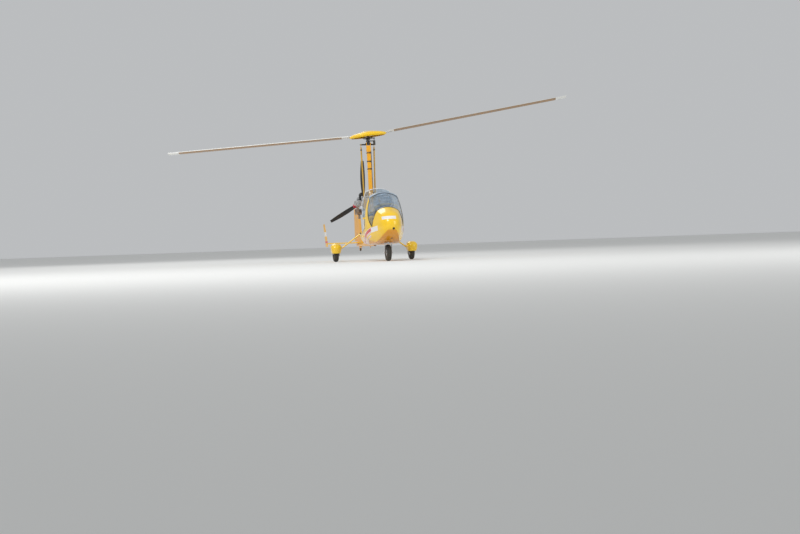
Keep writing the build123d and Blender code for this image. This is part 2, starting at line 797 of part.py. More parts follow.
# Main bearing, with the pre-rotator drive on its port side
with BuildPart() as head_bearing:
    with BuildSketch(head_plane.offset(BEARING_FOOT)):
        Circle(46)
    extrude(amount=BEARING_LIP)
    with BuildSketch(head_plane.offset(BEARING_FOOT + BEARING_LIP)):
        Circle(38)
    extrude(amount=BEARING_TOP - BEARING_FOOT - 2 * BEARING_LIP)
    with BuildSketch(head_plane.offset(BEARING_TOP - BEARING_LIP)):
        Circle(44)
    extrude(amount=BEARING_LIP)
    drive_y = RING_GEAR_RADIUS + PINION_GAP + PINION_RADIUS
    with BuildSketch(head_plane.offset(60)):
        with Locations((0, drive_y)):
            Circle(24)
    extrude(amount=-95)
    with BuildSketch(head_plane.offset(60)):
        with Locations((0, drive_y)):
            Circle(7)
    extrude(amount=42)
    with BuildSketch(head_plane.offset(102)):
        with Locations((0, drive_y)):
            Circle(PINION_RADIUS)
    extrude(amount=20)
    with BuildSketch(head_plane.offset(46)):
        with Locations((0, drive_y / 2)):
            Rectangle(50, drive_y)
    extrude(amount=12)
head_bearing.part.label = "head_bearing"
export_step(head_bearing.part, "parts/head_bearing.step")

# Turning part of the head, drawn about the pivot and turned with the rotor: ring gear and teeter tower
hub_x = head_plane.x_dir * cos(radians(ROTOR_TURN)) + head_plane.y_dir * sin(radians(ROTOR_TURN))
hub_plane = Plane(origin=head_origin, x_dir=hub_x, z_dir=head_plane.z_dir)
with BuildPart() as teeter_tower:
    with BuildSketch(hub_plane.offset(RING_GEAR_FOOT)):
        Circle(RING_GEAR_RADIUS - TOOTH_DEPTH)
        with PolarLocations(RING_GEAR_RADIUS - TOOTH_DEPTH, RING_GEAR_TEETH):
            Rectangle(2 * TOOTH_DEPTH, TOOTH_WIDTH)
    extrude(amount=RING_GEAR_THICKNESS)
    with BuildSketch(hub_plane.offset(BEARING_TOP + 0.5)):
        Circle(20)
    extrude(amount=6)
    with BuildSketch(hub_plane.offset(BEARING_TOP + 6.5)):
        Circle(39.8)
    extrude(amount=RING_GEAR_FOOT + RING_GEAR_THICKNESS - BEARING_TOP - 6.5)
    with BuildSketch(hub_plane.offset(RING_GEAR_FOOT + RING_GEAR_THICKNESS)):
        Rectangle(2 * (TOWER_CHEEK_X + TOWER_CHEEK_THICKNESS), 70)
    extrude(amount=8)
    for side in (-1, 1):
        tower_plane = Plane(
            origin=hub_plane.from_local_coords((side * (TOWER_CHEEK_X + TOWER_CHEEK_THICKNESS / 2), 0, 0)),
            x_dir=hub_plane.y_dir,
            z_dir=hub_plane.x_dir,
        )
        with BuildSketch(tower_plane):
            with Locations((0, TEETER_HEIGHT)):
                Circle(22)
            with Locations((0, (TEETER_HEIGHT + BEARING_TOP + 20) / 2)):
                Rectangle(44, TEETER_HEIGHT - BEARING_TOP - 20)
            with Locations((0, TEETER_HEIGHT)):
                Circle(TEETER_RADIUS + 0.1, mode=Mode.SUBTRACT)
        extrude(amount=TOWER_CHEEK_THICKNESS / 2, both=True)
teeter_tower.part.label = "teeter_tower"
export_step(teeter_tower.part, "parts/teeter_tower.step")

# Rotor, drawn about its teeter bolt and leaning to starboard on the teeter stop
teeter_origin = hub_plane.from_local_coords((0, 0, TEETER_HEIGHT))
rotor_up = hub_plane.z_dir * cos(radians(TEETER_LEAN)) - hub_plane.y_dir * sin(radians(TEETER_LEAN))
rotor_plane = Plane(origin=teeter_origin, x_dir=hub_plane.x_dir, z_dir=rotor_up)


def blade_plane(side, radius):
    """Plane across one blade at a radius, with local X along the chord and Y upwards."""
    cone = radians(CONING)
    along = rotor_plane.y_dir * (side * cos(cone)) + rotor_plane.z_dir * sin(cone)
    origin = teeter_origin - rotor_plane.z_dir * HUB_BAR_DROP + along * radius
    return Plane(origin=origin, x_dir=rotor_plane.x_dir * -side, z_dir=along)


with BuildPart() as hub_bar:
    for _, side in SIDES:
        with BuildSketch(blade_plane(side, 0)):
            Rectangle(HUB_BAR_WIDTH, HUB_BAR_THICKNESS)
        extrude(amount=HUB_BAR_REACH)
    with BuildSketch(rotor_plane.offset(-HUB_BAR_DROP)):
        Rectangle(HUB_BAR_WIDTH, 90)
    extrude(amount=HUB_BAR_DROP + 18)
    bolt_plane = Plane(origin=teeter_origin, x_dir=rotor_plane.y_dir, z_dir=rotor_plane.x_dir)
    with BuildSketch(bolt_plane):
        Circle(TEETER_RADIUS)
    extrude(amount=TOWER_CHEEK_X + TOWER_CHEEK_THICKNESS + 16, both=True)
    for side in (-1, 1):
        with BuildSketch(bolt_plane.offset(side * (TOWER_CHEEK_X + TOWER_CHEEK_THICKNESS + 10))):
            RegularPolygon(BOLT_HEAD_RADIUS, 6)
        extrude(amount=4, both=True)
hub_bar.part.label = "hub_bar"
export_step(hub_bar.part, "parts/hub_bar.step")

# Blades: nose circle, arched upper side and flatter lower side
for name, side in SIDES:
    with BuildPart() as blade:
        with BuildSketch(blade_plane(side, BLADE_ROOT)):
            nose = BLADE_NOSE_OFFSET
            tail = BLADE_NOSE_OFFSET - BLADE_CHORD
            with BuildLine():
                ThreePointArc((nose - 18, 13), (nose, 0), (nose - 18, -9))
                ThreePointArc((nose - 18, 13), (nose - 80, 17), (tail, 1.2))
                Line((tail, 1.2), (tail, -1.2))
                ThreePointArc((tail, -1.2), (nose - 80, -10), (nose - 18, -9))
            make_face()
        extrude(amount=ROTOR_RADIUS - BLADE_ROOT)
        with BuildSketch(blade_plane(side, BLADE_ROOT - 20)):
            Rectangle(HUB_BAR_WIDTH + 1, HUB_BAR_THICKNESS + 1)
        extrude(amount=HUB_BAR_REACH - BLADE_ROOT + 20.5, mode=Mode.SUBTRACT)
    blade.part.label = f"rotor_blade_{name}"
    export_step(blade.part, f"parts/rotor_blade_{name}.step")

with BuildPart() as rotor_fairing:
    fairing_plane = rotor_plane.offset(-HUB_BAR_DROP)
    for inset, action in ((0, Mode.ADD), (FAIRING_WALL, Mode.SUBTRACT)):
        with BuildSketch(fairing_plane.offset(FAIRING_SEAM - FAIRING_DROP)):
            Ellipse(FAIRING_HALF_WIDTH - 30 - inset, FAIRING_HALF_LENGTH - 40 - inset)
        with BuildSketch(fairing_plane.offset(FAIRING_SEAM)):
            Ellipse(FAIRING_HALF_WIDTH - inset, FAIRING_HALF_LENGTH - inset)
        with BuildSketch(fairing_plane.offset(FAIRING_SEAM + 0.7 * FAIRING_RISE)):
            Ellipse(FAIRING_HALF_WIDTH - 25 - inset, FAIRING_HALF_LENGTH - 120 - inset)
        with BuildSketch(fairing_plane.offset(FAIRING_SEAM + FAIRING_RISE + 12 - inset)):
            Ellipse(40, 120)
        loft(mode=action)
    for _, side in SIDES:
        with BuildSketch(blade_plane(side, 200)):
            Rectangle(HUB_BAR_WIDTH + 6, HUB_BAR_THICKNESS + 6)
        extrude(amount=260, mode=Mode.SUBTRACT)
rotor_fairing.part.label = "rotor_fairing"
export_step(rotor_fairing.part, "parts/rotor_fairing.step")

# Control rods from the mixer at the mast's foot to the cross bar on the rotor head
arm_direction = -head_plane.x_dir


def mixer_side(local_y):
    """Plane of the mixer's side view at a distance to port, turned as the rotor head is."""
    return Plane(
        origin=mixer_origin + Vector(0, local_y, 0),
        x_dir=head_plane.x_dir,
        z_dir=(0, -1, 0),
    )


with BuildPart() as mixer:
    with BuildSketch(mixer_side(0)):
        Circle(MIXER_TUBE_RADIUS)
    extrude(amount=ROD_FOOT_Y - 20, both=True)
    for side in (-1, 1):
        with BuildSketch(mixer_side(side * (ROD_FOOT_Y - 20))):
            Circle(22)
            with Locations((-ROD_ARM / 2, 0)):
                Rectangle(ROD_ARM, 26)
            with Locations((-ROD_ARM, 0)):
                Circle(14)
        extrude(amount=5, both=True)
        with BuildSketch(mixer_side(side * ROD_FOOT_Y)):
            with Locations((-ROD_ARM, 0)):
                Circle(ROD_PIN_RADIUS)
        extrude(amount=18, both=True)
        with BuildSketch(mixer_side(side * (ROD_FOOT_Y + 17))):
            with Locations((-ROD_ARM, 0)):
                Circle(12)
        extrude(amount=3, both=True)
mixer.part.label = "mixer"
export_step(mixer.part, "parts/mixer.step")

with BuildPart() as control_rods:
    for name, side in SIDES:
        foot = mixer_origin + arm_direction * ROD_ARM + Vector(0, side * ROD_FOOT_Y, 0)
        top = head_origin + arm_direction * ROD_ARM + Vector(0, side * ROD_TOP_Y, 0)
        rod_direction = (top - foot).normalized()
        rod_length = (top - foot).length
        rod_plane = Plane(origin=foot, x_dir=Vector(0, 1, 0).cross(rod_direction), z_dir=rod_direction)
        with BuildSketch(rod_plane.offset(ROD_NECK)):
            Circle(ROD_RADIUS)
        extrude(amount=rod_length - 2 * ROD_NECK)
        with BuildSketch(rod_plane.offset(ROD_EYE_RADIUS - 4)):
            Circle(6)
        extrude(amount=rod_length - 2 * (ROD_EYE_RADIUS - 4))
        for eye in (foot, top):
            with BuildSketch(Plane(origin=eye, x_dir=(1, 0, 0), z_dir=(0, 1, 0))):
                Circle(ROD_EYE_RADIUS)
            extrude(amount=ROD_EYE_THICKNESS / 2, both=True)
            with BuildSketch(Plane(origin=eye, x_dir=(1, 0, 0), z_dir=(0, 1, 0))):
                Circle(ROD_PIN_RADIUS + 3)
            extrude(amount=ROD_EYE_THICKNESS, both=True, mode=Mode.SUBTRACT)
control_rods.part.label = "control_rods"
export_step(control_rods.part, "parts/control_rods.step")


def wheel_plane(station, middle_y, height):
    """Plane through a wheel's axle, with local X up and the axle along local Y."""
    return Plane(origin=(at(station), middle_y, height), x_dir=(0, 0, 1), z_dir=(-1, 0, 0))


def tyre_section(plane, outer, width, inner):
    """Section of a tyre above its axle, which runs along the plane's Y."""
    half = width / 2
    middle = (inner + outer) / 2
    with BuildSketch(plane) as section:
        with BuildLine():
            bead = (inner + 8, half * 0.74)
            edge = (outer - 14, half * 0.8)
            Polyline((bead[0], -bead[1]), (inner, -half * 0.62), (inner, half * 0.62), bead)
            ThreePointArc(bead, (middle, half), edge)
            ThreePointArc(edge, (outer, 0), (edge[0], -edge[1]))
            ThreePointArc((edge[0], -edge[1]), (middle, -half), (bead[0], -bead[1]))
        make_face()
    return section.sketch


# Main and nose wheels
for name, station, middle_y, bore in WHEEL_ROWS:
    plane = wheel_plane(station, middle_y, TYRE_RADIUS)
    axis = Axis((at(station), middle_y, TYRE_RADIUS), (0, 1, 0))
    with BuildPart() as tyre:
        revolve(tyre_section(plane, TYRE_RADIUS, TYRE_WIDTH, RIM_RADIUS), axis=axis)
    tyre.part.label = f"tyre_{name}"
    export_step(tyre.part, f"parts/tyre_{name}.step")

    with BuildPart() as rim:
        with BuildSketch(plane):
            with BuildLine():
                Polyline(
                    (bore, -26),
                    (bore, 26),
                    (HUB_RADIUS, 26),
                    (HUB_RADIUS + 4, 8),
                    (RIM_RADIUS - 14, 5),
                    (RIM_RADIUS - 8, 30),
                    (RIM_RADIUS - 1, 31),
                    (RIM_RADIUS - 1, -31),
                    (RIM_RADIUS - 8, -30),
                    (RIM_RADIUS - 14, -5),
                    (HUB_RADIUS + 4, -8),
                    (HUB_RADIUS, -26),
                    close=True,
                )
            make_face()
        revolve(axis=axis)
        with BuildSketch(from_starboard(station, middle_y, TYRE_RADIUS)):
            with PolarLocations(47, 5):
                Circle(9)
        extrude(amount=20, both=True, mode=Mode.SUBTRACT)
    rim.part.label = f"rim_{name}"
    export_step(rim.part, f"parts/rim_{name}.step")


def leg_plane(side, shift=0):
    """Plane across a main gear leg at its root, with local X forward."""
    run = LEG_FOOT_Y - MAST_WIDTH / 2
    drop = LEG_ROOT_Z - LEG_FOOT_Z
    along = Vector(0, side * run, -drop).normalized()
    origin = Vector(AXLE_X, side * MAST_WIDTH / 2, LEG_ROOT_Z) - along * shift
    return Plane(origin=origin, x_dir=(1, 0, 0), z_dir=along)


def spat_form(side, inset):
    """A wheel fairing as one solid, drawn inwards by inset."""
    middle = side * TRACK / 2
    with BuildPart() as form:
        for height, nose, tail, half in SPAT_ROWS:
            z = height - (1 if height == SPAT_ROWS[0][0] else 0) * inset - (height > 300) * inset
            front = AXLE_X + nose - half
            shoulder = AXLE_X - 175
            tip = AXLE_X - tail + 3 * inset
            wide = half - inset
            with BuildSketch(Plane.XY.offset(z)):
                with BuildLine():
                    prow = (AXLE_X + nose - inset, middle)
                    ThreePointArc((front, middle + wide), prow, (front, middle - wide))
                    for turn in (-1, 1):
                        hip = (shoulder, middle + turn * 0.7 * wide)
                        waist = ((front + shoulder) / 2, middle + turn * 0.95 * wide)
                        flank = ((shoulder + tip) / 2, middle + turn * 0.4 * wide)
                        ThreePointArc((front, middle + turn * wide), waist, hip)
                        ThreePointArc(hip, flank, (tip, middle))
                make_face()
        loft()
    return form.part


with BuildPart() as gear_legs:
    for _, side in SIDES:
        leg_section = lens(leg_plane(side, 40), LEG_CHORD / 2, -LEG_CHORD / 2, LEG_THICKNESS, 4)
        extrude(leg_section, amount=LEG_LENGTH + 80)
    with BuildSketch(Plane.YZ.offset(AXLE_X - 100)):
        with Locations((-(MAST_WIDTH / 2 + LEG_FOOT_Y) / 2, 500), ((MAST_WIDTH / 2 + LEG_FOOT_Y) / 2, 500)):
            Rectangle(LEG_FOOT_Y - MAST_WIDTH / 2, 1000)
    extrude(amount=200, mode=Mode.INTERSECT)
gear_legs.part.label = "gear_legs"
export_step(gear_legs.part, "parts/gear_legs.step")

with BuildPart() as main_axles:
    for _, side in SIDES:
        axle_plane = Plane(
            origin=(AXLE_X, side * LEG_FOOT_Y, TYRE_RADIUS), x_dir=(1, 0, 0), z_dir=(0, side, 0)
        )
        with BuildSketch(axle_plane):
            with Locations((0, -side * ((LEG_FOOT_Z + KNUCKLE_FOOT_Z) / 2 - TYRE_RADIUS))):
                RectangleRounded(KNUCKLE_WIDTH, LEG_FOOT_Z + 24 - KNUCKLE_FOOT_Z, 12)
        extrude(amount=KNUCKLE_THICKNESS)
        with BuildSketch(axle_plane):
            Circle(20)
        extrude(amount=TRACK / 2 - LEG_FOOT_Y - 32)
        with BuildSketch(axle_plane):
            Circle(MAIN_AXLE_RADIUS)
        extrude(amount=TRACK / 2 - LEG_FOOT_Y + 48)
        with BuildSketch(axle_plane.offset(TRACK / 2 - LEG_FOOT_Y + 32)):
            RegularPolygon(19, 6)
        extrude(amount=12)
main_axles.part.label = "main_axles"
export_step(main_axles.part, "parts/main_axles.step")

with BuildPart() as wheel_fairings:
    for _, side in SIDES:
        add(spat_form(side, 0))
        add(spat_form(side, SPAT_WALL), mode=Mode.SUBTRACT)
        slot = lens(leg_plane(side), LEG_CHORD / 2 + 1, -LEG_CHORD / 2 - 1, LEG_THICKNESS + 2, 6)
        extrude(slot, amount=LEG_LENGTH + 30, mode=Mode.SUBTRACT)
        with BuildSketch(Plane.XY.offset(100)):
            with Locations((AXLE_X, side * (LEG_FOOT_Y + KNUCKLE_THICKNESS / 2 - 20))):
                Rectangle(KNUCKLE_WIDTH + 2, KNUCKLE_THICKNESS + 42)
        extrude(amount=LEG_FOOT_Z + 14 - 100, mode=Mode.SUBTRACT)
wheel_fairings.part.label = "wheel_fairings"
export_step(wheel_fairings.part, "parts/wheel_fairings.step")

# Nose gear: fork turning in a housing on the body's floor
with BuildPart() as nose_fork:
    with BuildSketch(Plane.XY.offset(FORK_CROWN_Z - 12)):
        with Locations((at(STEER_STATION), 0)):
            RectangleRounded(46, 2 * FORK_HALF + 26, 10)
    extrude(amount=20)
    with BuildSketch(Plane.XY.offset(FORK_CROWN_Z)):
        with Locations((at(STEER_STATION), 0)):
            Circle(STEER_RADIUS)
    extrude(amount=STEER_TOP_Z - FORK_CROWN_Z)
    for _, side in SIDES:
        foot = Vector(at(WHEEL_BASE), side * FORK_HALF, TYRE_RADIUS)
        crown = Vector(at(STEER_STATION), side * FORK_HALF, FORK_CROWN_Z)
        with BuildSketch(Plane(origin=foot, x_dir=(0, 1, 0), z_dir=crown - foot)):
            Circle(FORK_RADIUS)
        extrude(amount=(crown - foot).length)
        with BuildSketch(Plane(origin=foot, x_dir=(1, 0, 0), z_dir=(0, 1, 0))):
            Circle(20)
        extrude(amount=7, both=True)
    with BuildSketch(from_starboard(WHEEL_BASE, 0, TYRE_RADIUS)):
        Circle(NOSE_AXLE_RADIUS)
    extrude(amount=FORK_HALF + 14, both=True)
    with BuildSketch(from_starboard(WHEEL_BASE, 0, TYRE_RADIUS)):
        Circle(TOW_BORE_RADIUS)
    extrude(amount=FORK_HALF + 20, both=True, mode=Mode.SUBTRACT)
nose_fork.part.label = "nose_fork"
export_step(nose_fork.part, "parts/nose_fork.step")

with BuildPart() as nose_housing:
    with BuildSketch(Plane.XY.offset(300)):
        with Locations((at(STEER_STATION), 0)):
            Circle(STEER_RADIUS + 12)
    extrude(amount=STEER_HOUSING_TOP_Z - 300)
    with BuildSketch(Plane.XY.offset(300)):
        with Locations((at(STEER_STATION), 0)):
            Rectangle(120, 110)
    extrude(amount=110)
    with BuildSketch(Plane.XY.offset(300)):
        with Locations((at(STEER_STATION), 0)):
            Circle(STEER_RADIUS + 0.3)
    extrude(amount=STEER_HOUSING_TOP_Z, mode=Mode.SUBTRACT)
    add(body_inner, mode=Mode.INTERSECT)
nose_housing.part.label = "nose_housing"
export_step(nose_housing.part, "parts/nose_housing.step")

# Tail wheel
with BuildPart() as tail_wheel:
    with BuildSketch(wheel_plane(TAIL_WHEEL_STATION, 0, TAIL_WHEEL_Z)):
        with BuildLine():
            bore = TAIL_PIN_RADIUS + AXLE_GAP
            half = TAIL_WHEEL_WIDTH / 2
            shoulder = TAIL_WHEEL_RADIUS - 10
            Polyline((bore, -half), (bore, half), (shoulder, half))
            ThreePointArc((shoulder, half), (TAIL_WHEEL_RADIUS, 0), (shoulder, -half))
            Line((shoulder, -half), (bore, -half))
        make_face()
    revolve(axis=Axis((at(TAIL_WHEEL_STATION), 0, TAIL_WHEEL_Z), (0, 1, 0)))
tail_wheel.part.label = "tail_wheel"
export_step(tail_wheel.part, "parts/tail_wheel.step")

# Tail surfaces
with BuildPart() as end_fins:
    for _, side in SIDES:
        sections = []
        for height, lead, trail, thickness in END_FIN_ROWS:
            shift = tan(radians(END_FIN_CANT)) * (height - STAB_Z)
            plane = Plane(origin=(0, side * (STAB_HALF_SPAN + shift), height), z_dir=(0, 0, 1))
            sections.append(lens(plane, at(lead), at(trail), thickness, 3))
        loft(sections=sections)
end_fins.part.label = "end_fins"
export_step(end_fins.part, "parts/end_fins.step")

stab_plane = Plane(origin=(0, 0, STAB_Z), x_dir=(1, 0, 0), z_dir=(0, -1, 0))
stab_section = lens(stab_plane, at(STAB_FRONT), at(STAB_REAR), STAB_THICKNESS, 5)
stab_hollow = lens(
    stab_plane, at(STAB_FRONT) - TAIL_SKIN, at(STAB_REAR) + 40, STAB_THICKNESS - 2 * TAIL_SKIN, 4
)
with BuildPart() as stabiliser:
    extrude(stab_section, amount=STAB_HALF_SPAN, both=True)
    extrude(stab_hollow, amount=STAB_HALF_SPAN, both=True, mode=Mode.SUBTRACT)
    add(end_fins.part, mode=Mode.SUBTRACT)
stabiliser.part.label = "stabiliser"
export_step(stabiliser.part, "parts/stabiliser.step")

with BuildPart() as fin:
    sections = []
    for z, lead, thickness in FIN_ROWS:
        sections.append(lens(Plane.XY.offset(z), at(lead), at(FIN_TRAIL), thickness, 30))
    loft(sections=sections)
    with BuildSketch(Plane.XZ):
        with BuildLine():
            Polyline(
                (at(FIN_TRAIL) - 50, FIN_TOP_REAR_Z),
                (at(FIN_TIP_LEAD) + 60, FIN_TOP_FRONT_Z),
                (at(FIN_ROOT_LEAD), FIN_TOP_FRONT_Z - 200),
                (at(FIN_ROOT_LEAD), 1300),
                (at(FIN_TRAIL) - 50, 1300),
                close=True,
            )
        make_face()
    extrude(amount=100, both=True, mode=Mode.SUBTRACT)
    hollow_foot = lens(Plane.XY.offset(KEEL_TOP - 1), at(FIN_ROOT_LEAD - 60), at(FIN_TRAIL + 40), 34, 16)
    hollow_plane = Plane.XY.offset(FIN_TOP_FRONT_Z - 40)
    hollow_top = lens(hollow_plane, at(FIN_TIP_LEAD - 90), at(FIN_TRAIL + 60), 20, 12)
    loft(sections=[hollow_foot, hollow_top], mode=Mode.SUBTRACT)
    extrude(stab_section, amount=100, both=True, mode=Mode.SUBTRACT)
    with BuildSketch(Plane.XZ):
        with Locations((at((STAB_FRONT + STAB_REAR) / 2), KEEL_TOP)):
            Rectangle(STAB_FRONT - STAB_REAR - 2, STAB_THICKNESS)
    extrude(amount=100, both=True, mode=Mode.SUBTRACT)
    for height in HINGE_HEIGHTS:
        with BuildSketch(Plane.XY.offset(height - 7)):
            with Locations((at(FIN_TRAIL) - 11, 0)):
                Rectangle(28, 12)
            with Locations((at(RUDDER_HINGE), 0)):
                Circle(10)
                Circle(HINGE_PIN_RADIUS + 0.1, mode=Mode.SUBTRACT)
        extrude(amount=14)
fin.part.label = "fin"
export_step(fin.part, "parts/fin.step")

with BuildPart() as rudder:
    with BuildSketch(Plane.XY.offset(RUDDER_FOOT_Z)):
        with Locations((at(RUDDER_HINGE), 0)):
            Circle(RUDDER_NOSE_RADIUS)
        with BuildLine():
            Polyline(
                (at(RUDDER_HINGE), RUDDER_NOSE_RADIUS),
                (at(TAIL_STATION), 2),
                (at(TAIL_STATION), -2),
                (at(RUDDER_HINGE), -RUDDER_NOSE_RADIUS),
                close=True,
            )
        make_face()
    extrude(amount=FIN_TOP_REAR_Z + 20 - RUDDER_FOOT_Z)
    with BuildSketch(Plane.XZ):
        with BuildLine():
            Polyline(
                (at(TAIL_STATION) - 10, FIN_TOP_REAR_Z + 12),
                (at(RUDDER_HINGE) + 60, FIN_TOP_REAR_Z - 5),
                (at(RUDDER_HINGE) + 60, FIN_TOP_REAR_Z + 60),
                (at(TAIL_STATION) - 10, FIN_TOP_REAR_Z + 60),
                close=True,
            )
        make_face()
    extrude(amount=100, both=True, mode=Mode.SUBTRACT)
    for height in HINGE_HEIGHTS:
        with BuildSketch(Plane.XY.offset(height - 14)):
            with Locations((at(RUDDER_HINGE) + 6, 0)):
                Rectangle(40, 2 * RUDDER_NOSE_RADIUS + 4)
        extrude(amount=28, mode=Mode.SUBTRACT)
        with BuildSketch(Plane.XY.offset(height - 16)):
            with Locations((at(RUDDER_HINGE), 0)):
                Circle(HINGE_PIN_RADIUS)
        extrude(amount=32)
rudder.part.label = "rudder"
export_step(rudder.part, "parts/rudder.step")

# Engine: crankcase, four finned cylinders with heads, gearbox, intake, filter and exhaust
with BuildPart() as engine_block:
    with BuildSketch(across(CRANKCASE_REAR)):
        with Locations((0, CRANK_Z)):
            RectangleRounded(2 * CRANKCASE_HALF_WIDTH, 2 * CRANKCASE_HALF_HEIGHT, 30)
    extrude(amount=CRANKCASE_FRONT - CRANKCASE_REAR)
    with BuildSketch(across(CRANKCASE_FRONT)):
        with Locations((0, CRANK_Z)):
            Circle(62)
    extrude(amount=24)
    with BuildSketch(across(CRANKCASE_REAR)):
        with Locations((0, CRANK_Z)):
            Circle(84)
        with Locations((0, PROP_Z)):
            Circle(72)
    extrude(amount=-GEARBOX_LENGTH)
    with BuildSketch(across(CRANKCASE_REAR - GEARBOX_LENGTH)):
        with Locations((0, PROP_Z)):
            Circle(56)
    extrude(amount=-FLANGE_LENGTH)
engine_block.part.label = "engine_block"
export_step(engine_block.part, "parts/engine_block.step")

with BuildPart() as cylinders:
    for _, side in SIDES:
        for index in (-1, 1):
            barrel = Plane(
                origin=(at(cylinder_station(side, index)), side * CRANKCASE_HALF_WIDTH, CRANK_Z),
                x_dir=(1, 0, 0),
                z_dir=(0, side, 0),
            )
            with BuildSketch(barrel):
                Circle(CYLINDER_RADIUS)
            extrude(amount=CYLINDER_REACH - CRANKCASE_HALF_WIDTH)
            for fin_index in range(FIN_COUNT):
                with BuildSketch(barrel.offset(8 + fin_index * FIN_PITCH)):
                    Circle(FIN_RADIUS)
                extrude(amount=FIN_THICKNESS)
            with BuildSketch(barrel.offset(CYLINDER_REACH - CRANKCASE_HALF_WIDTH)):
                RectangleRounded(128, 116, 16)
            extrude(amount=52)
            with BuildSketch(barrel.offset(CYLINDER_REACH - CRANKCASE_HALF_WIDTH + 52)):
                RectangleRounded(104, 92, 20)
            extrude(amount=HEAD_REACH - CYLINDER_REACH - 52)
cylinders.part.label = "cylinders"
export_step(cylinders.part, "parts/cylinders.step")

with BuildPart() as intake:
    with BuildSketch(across(AIRBOX_STATION)):
        with Locations((0, AIRBOX_Z)):
            RectangleRounded(AIRBOX_SIZE[1], AIRBOX_SIZE[2], 30)
    extrude(amount=AIRBOX_SIZE[0])
    for _, side in SIDES:
        with BuildSketch(Plane.XY.offset(CRANK_Z + 59)):
            with Locations((at(INTAKE_STATION), side * INTAKE_Y)):
                Circle(INTAKE_RADIUS)
        extrude(amount=AIRBOX_Z - CRANK_Z - 59)
    add(cylinders.part, mode=Mode.SUBTRACT)
    add(engine_block.part, mode=Mode.SUBTRACT)
intake.part.label = "intake"
export_step(intake.part, "parts/intake.step")

with BuildPart() as air_filter:
    filter_plane = from_starboard(FILTER_STATION, FILTER_Y, FILTER_Z)
    with BuildSketch(filter_plane):
        Circle(32)
    extrude(amount=30)
    with BuildSketch(filter_plane.offset(30)):
        Circle(46)
    with BuildSketch(filter_plane.offset(130)):
        Circle(36)
    loft()
    add(engine_block.part, mode=Mode.SUBTRACT)
air_filter.part.label = "air_filter"
export_step(air_filter.part, "parts/air_filter.step")

tail_pipe_plane = Plane(
    origin=(at(SILENCER_STATION), TAIL_PIPE_Y, SILENCER_Z), x_dir=(1, 0, 0), z_dir=(0, 0, -1)
)
with BuildPart() as exhaust:
    with BuildSketch(from_starboard(SILENCER_STATION, 0, SILENCER_Z)):
        Circle(SILENCER_RADIUS)
    extrude(amount=SILENCER_HALF, both=True)
    for _, side in SIDES:
        for index in (-1, 1):
            station = cylinder_station(side, index)
            port = (at(station), side * PORT_Y, CRANK_Z - 59)
            bend = (at(station), side * PORT_Y, SILENCER_Z + 10)
            end = (at(SILENCER_STATION), side * (150 + 30 * index), SILENCER_Z + 5)
            with BuildLine() as route:
                FilletPolyline(port, bend, end, radius=40)
            with BuildSketch(Plane(origin=port, z_dir=(0, 0, -1))):
                Circle(PIPE_RADIUS)
            sweep(path=route.line)
    with BuildSketch(tail_pipe_plane):
        Circle(TAIL_PIPE_RADIUS)
    extrude(amount=150)
    with BuildSketch(from_starboard(SILENCER_STATION, 0, SILENCER_Z)):
        Circle(SILENCER_RADIUS - SILENCER_WALL)
    extrude(amount=SILENCER_HALF - SILENCER_WALL, both=True, mode=Mode.SUBTRACT)
    with BuildSketch(tail_pipe_plane):
        Circle(TAIL_PIPE_RADIUS - SILENCER_WALL + 1)
    extrude(amount=160, mode=Mode.SUBTRACT)
exhaust.part.label = "exhaust"
export_step(exhaust.part, "parts/exhaust.step")

with BuildPart() as engine_mount:
    for _, side in SIDES:
        front = Vector(at(CRADLE_FRONT), side * CRADLE_Y, CRADLE_Z)
        rear = Vector(at(CRADLE_REAR), side * CRADLE_Y, CRADLE_Z)
        low = Vector(at(STRUT_FOOT[0]), side * STRUT_FOOT[1], STRUT_FOOT[2])
        for start, end in ((front, rear), (low, rear)):
            with BuildSketch(Plane(origin=start, z_dir=end - start)):
                Circle(CRADLE_RADIUS)
            extrude(amount=(end - start).length)
    for station in CROSS_BAR_STATIONS:
        with BuildSketch(from_starboard(station, 0, CRADLE_Z)):
            Rectangle(30, 44)
        extrude(amount=110, both=True)
    add(engine_block.part, mode=Mode.SUBTRACT)
    add(mast.part, mode=Mode.SUBTRACT)
engine_mount.part.label = "engine_mount"
export_step(engine_mount.part, "parts/engine_mount.step")

with BuildPart() as radiator:
    with BuildSketch(across(RADIATOR_STATION)):
        with Locations((RADIATOR_Y, RADIATOR_Z)):
            RectangleRounded(RADIATOR_SIZE[1], RADIATOR_SIZE[2], 12)
    extrude(amount=-RADIATOR_SIZE[0])
    with BuildSketch(across(RADIATOR_STATION)):
        with Locations((RADIATOR_Y, RADIATOR_Z)):
            Rectangle(RADIATOR_SIZE[1] - 50, RADIATOR_SIZE[2] - 50)
    extrude(amount=-8, mode=Mode.SUBTRACT)
    with BuildSketch(from_starboard(RADIATOR_STATION + 23, 182, RADIATOR_Z)):
        Rectangle(146, 24)
    extrude(amount=140)
    add(mast.part, mode=Mode.SUBTRACT)
radiator.part.label = "radiator"
export_step(radiator.part, "parts/radiator.step")

# Propeller
with BuildPart() as propeller_blades:
    for index in range(PROP_BLADES):
        turn = radians(360 * index / PROP_BLADES)
        out = Vector(0, sin(turn), cos(turn))
        around = Vector(0, cos(turn), -sin(turn))
        sections = []
        for radius, chord, thickness, angle in PROP_ROWS:
            chord_direction = around * cos(radians(angle)) + Vector(1, 0, 0) * sin(radians(angle))
            origin = Vector(at(PROP_STATION), 0, PROP_Z) + out * radius
            section_plane = Plane(origin=origin, x_dir=chord_direction, z_dir=out)
            sections.append(lens(section_plane, 0.4 * chord, -0.6 * chord, thickness, 2.5))
        loft(sections=sections)
propeller_blades.part.label = "propeller_blades"
export_step(propeller_blades.part, "parts/propeller_blades.step")

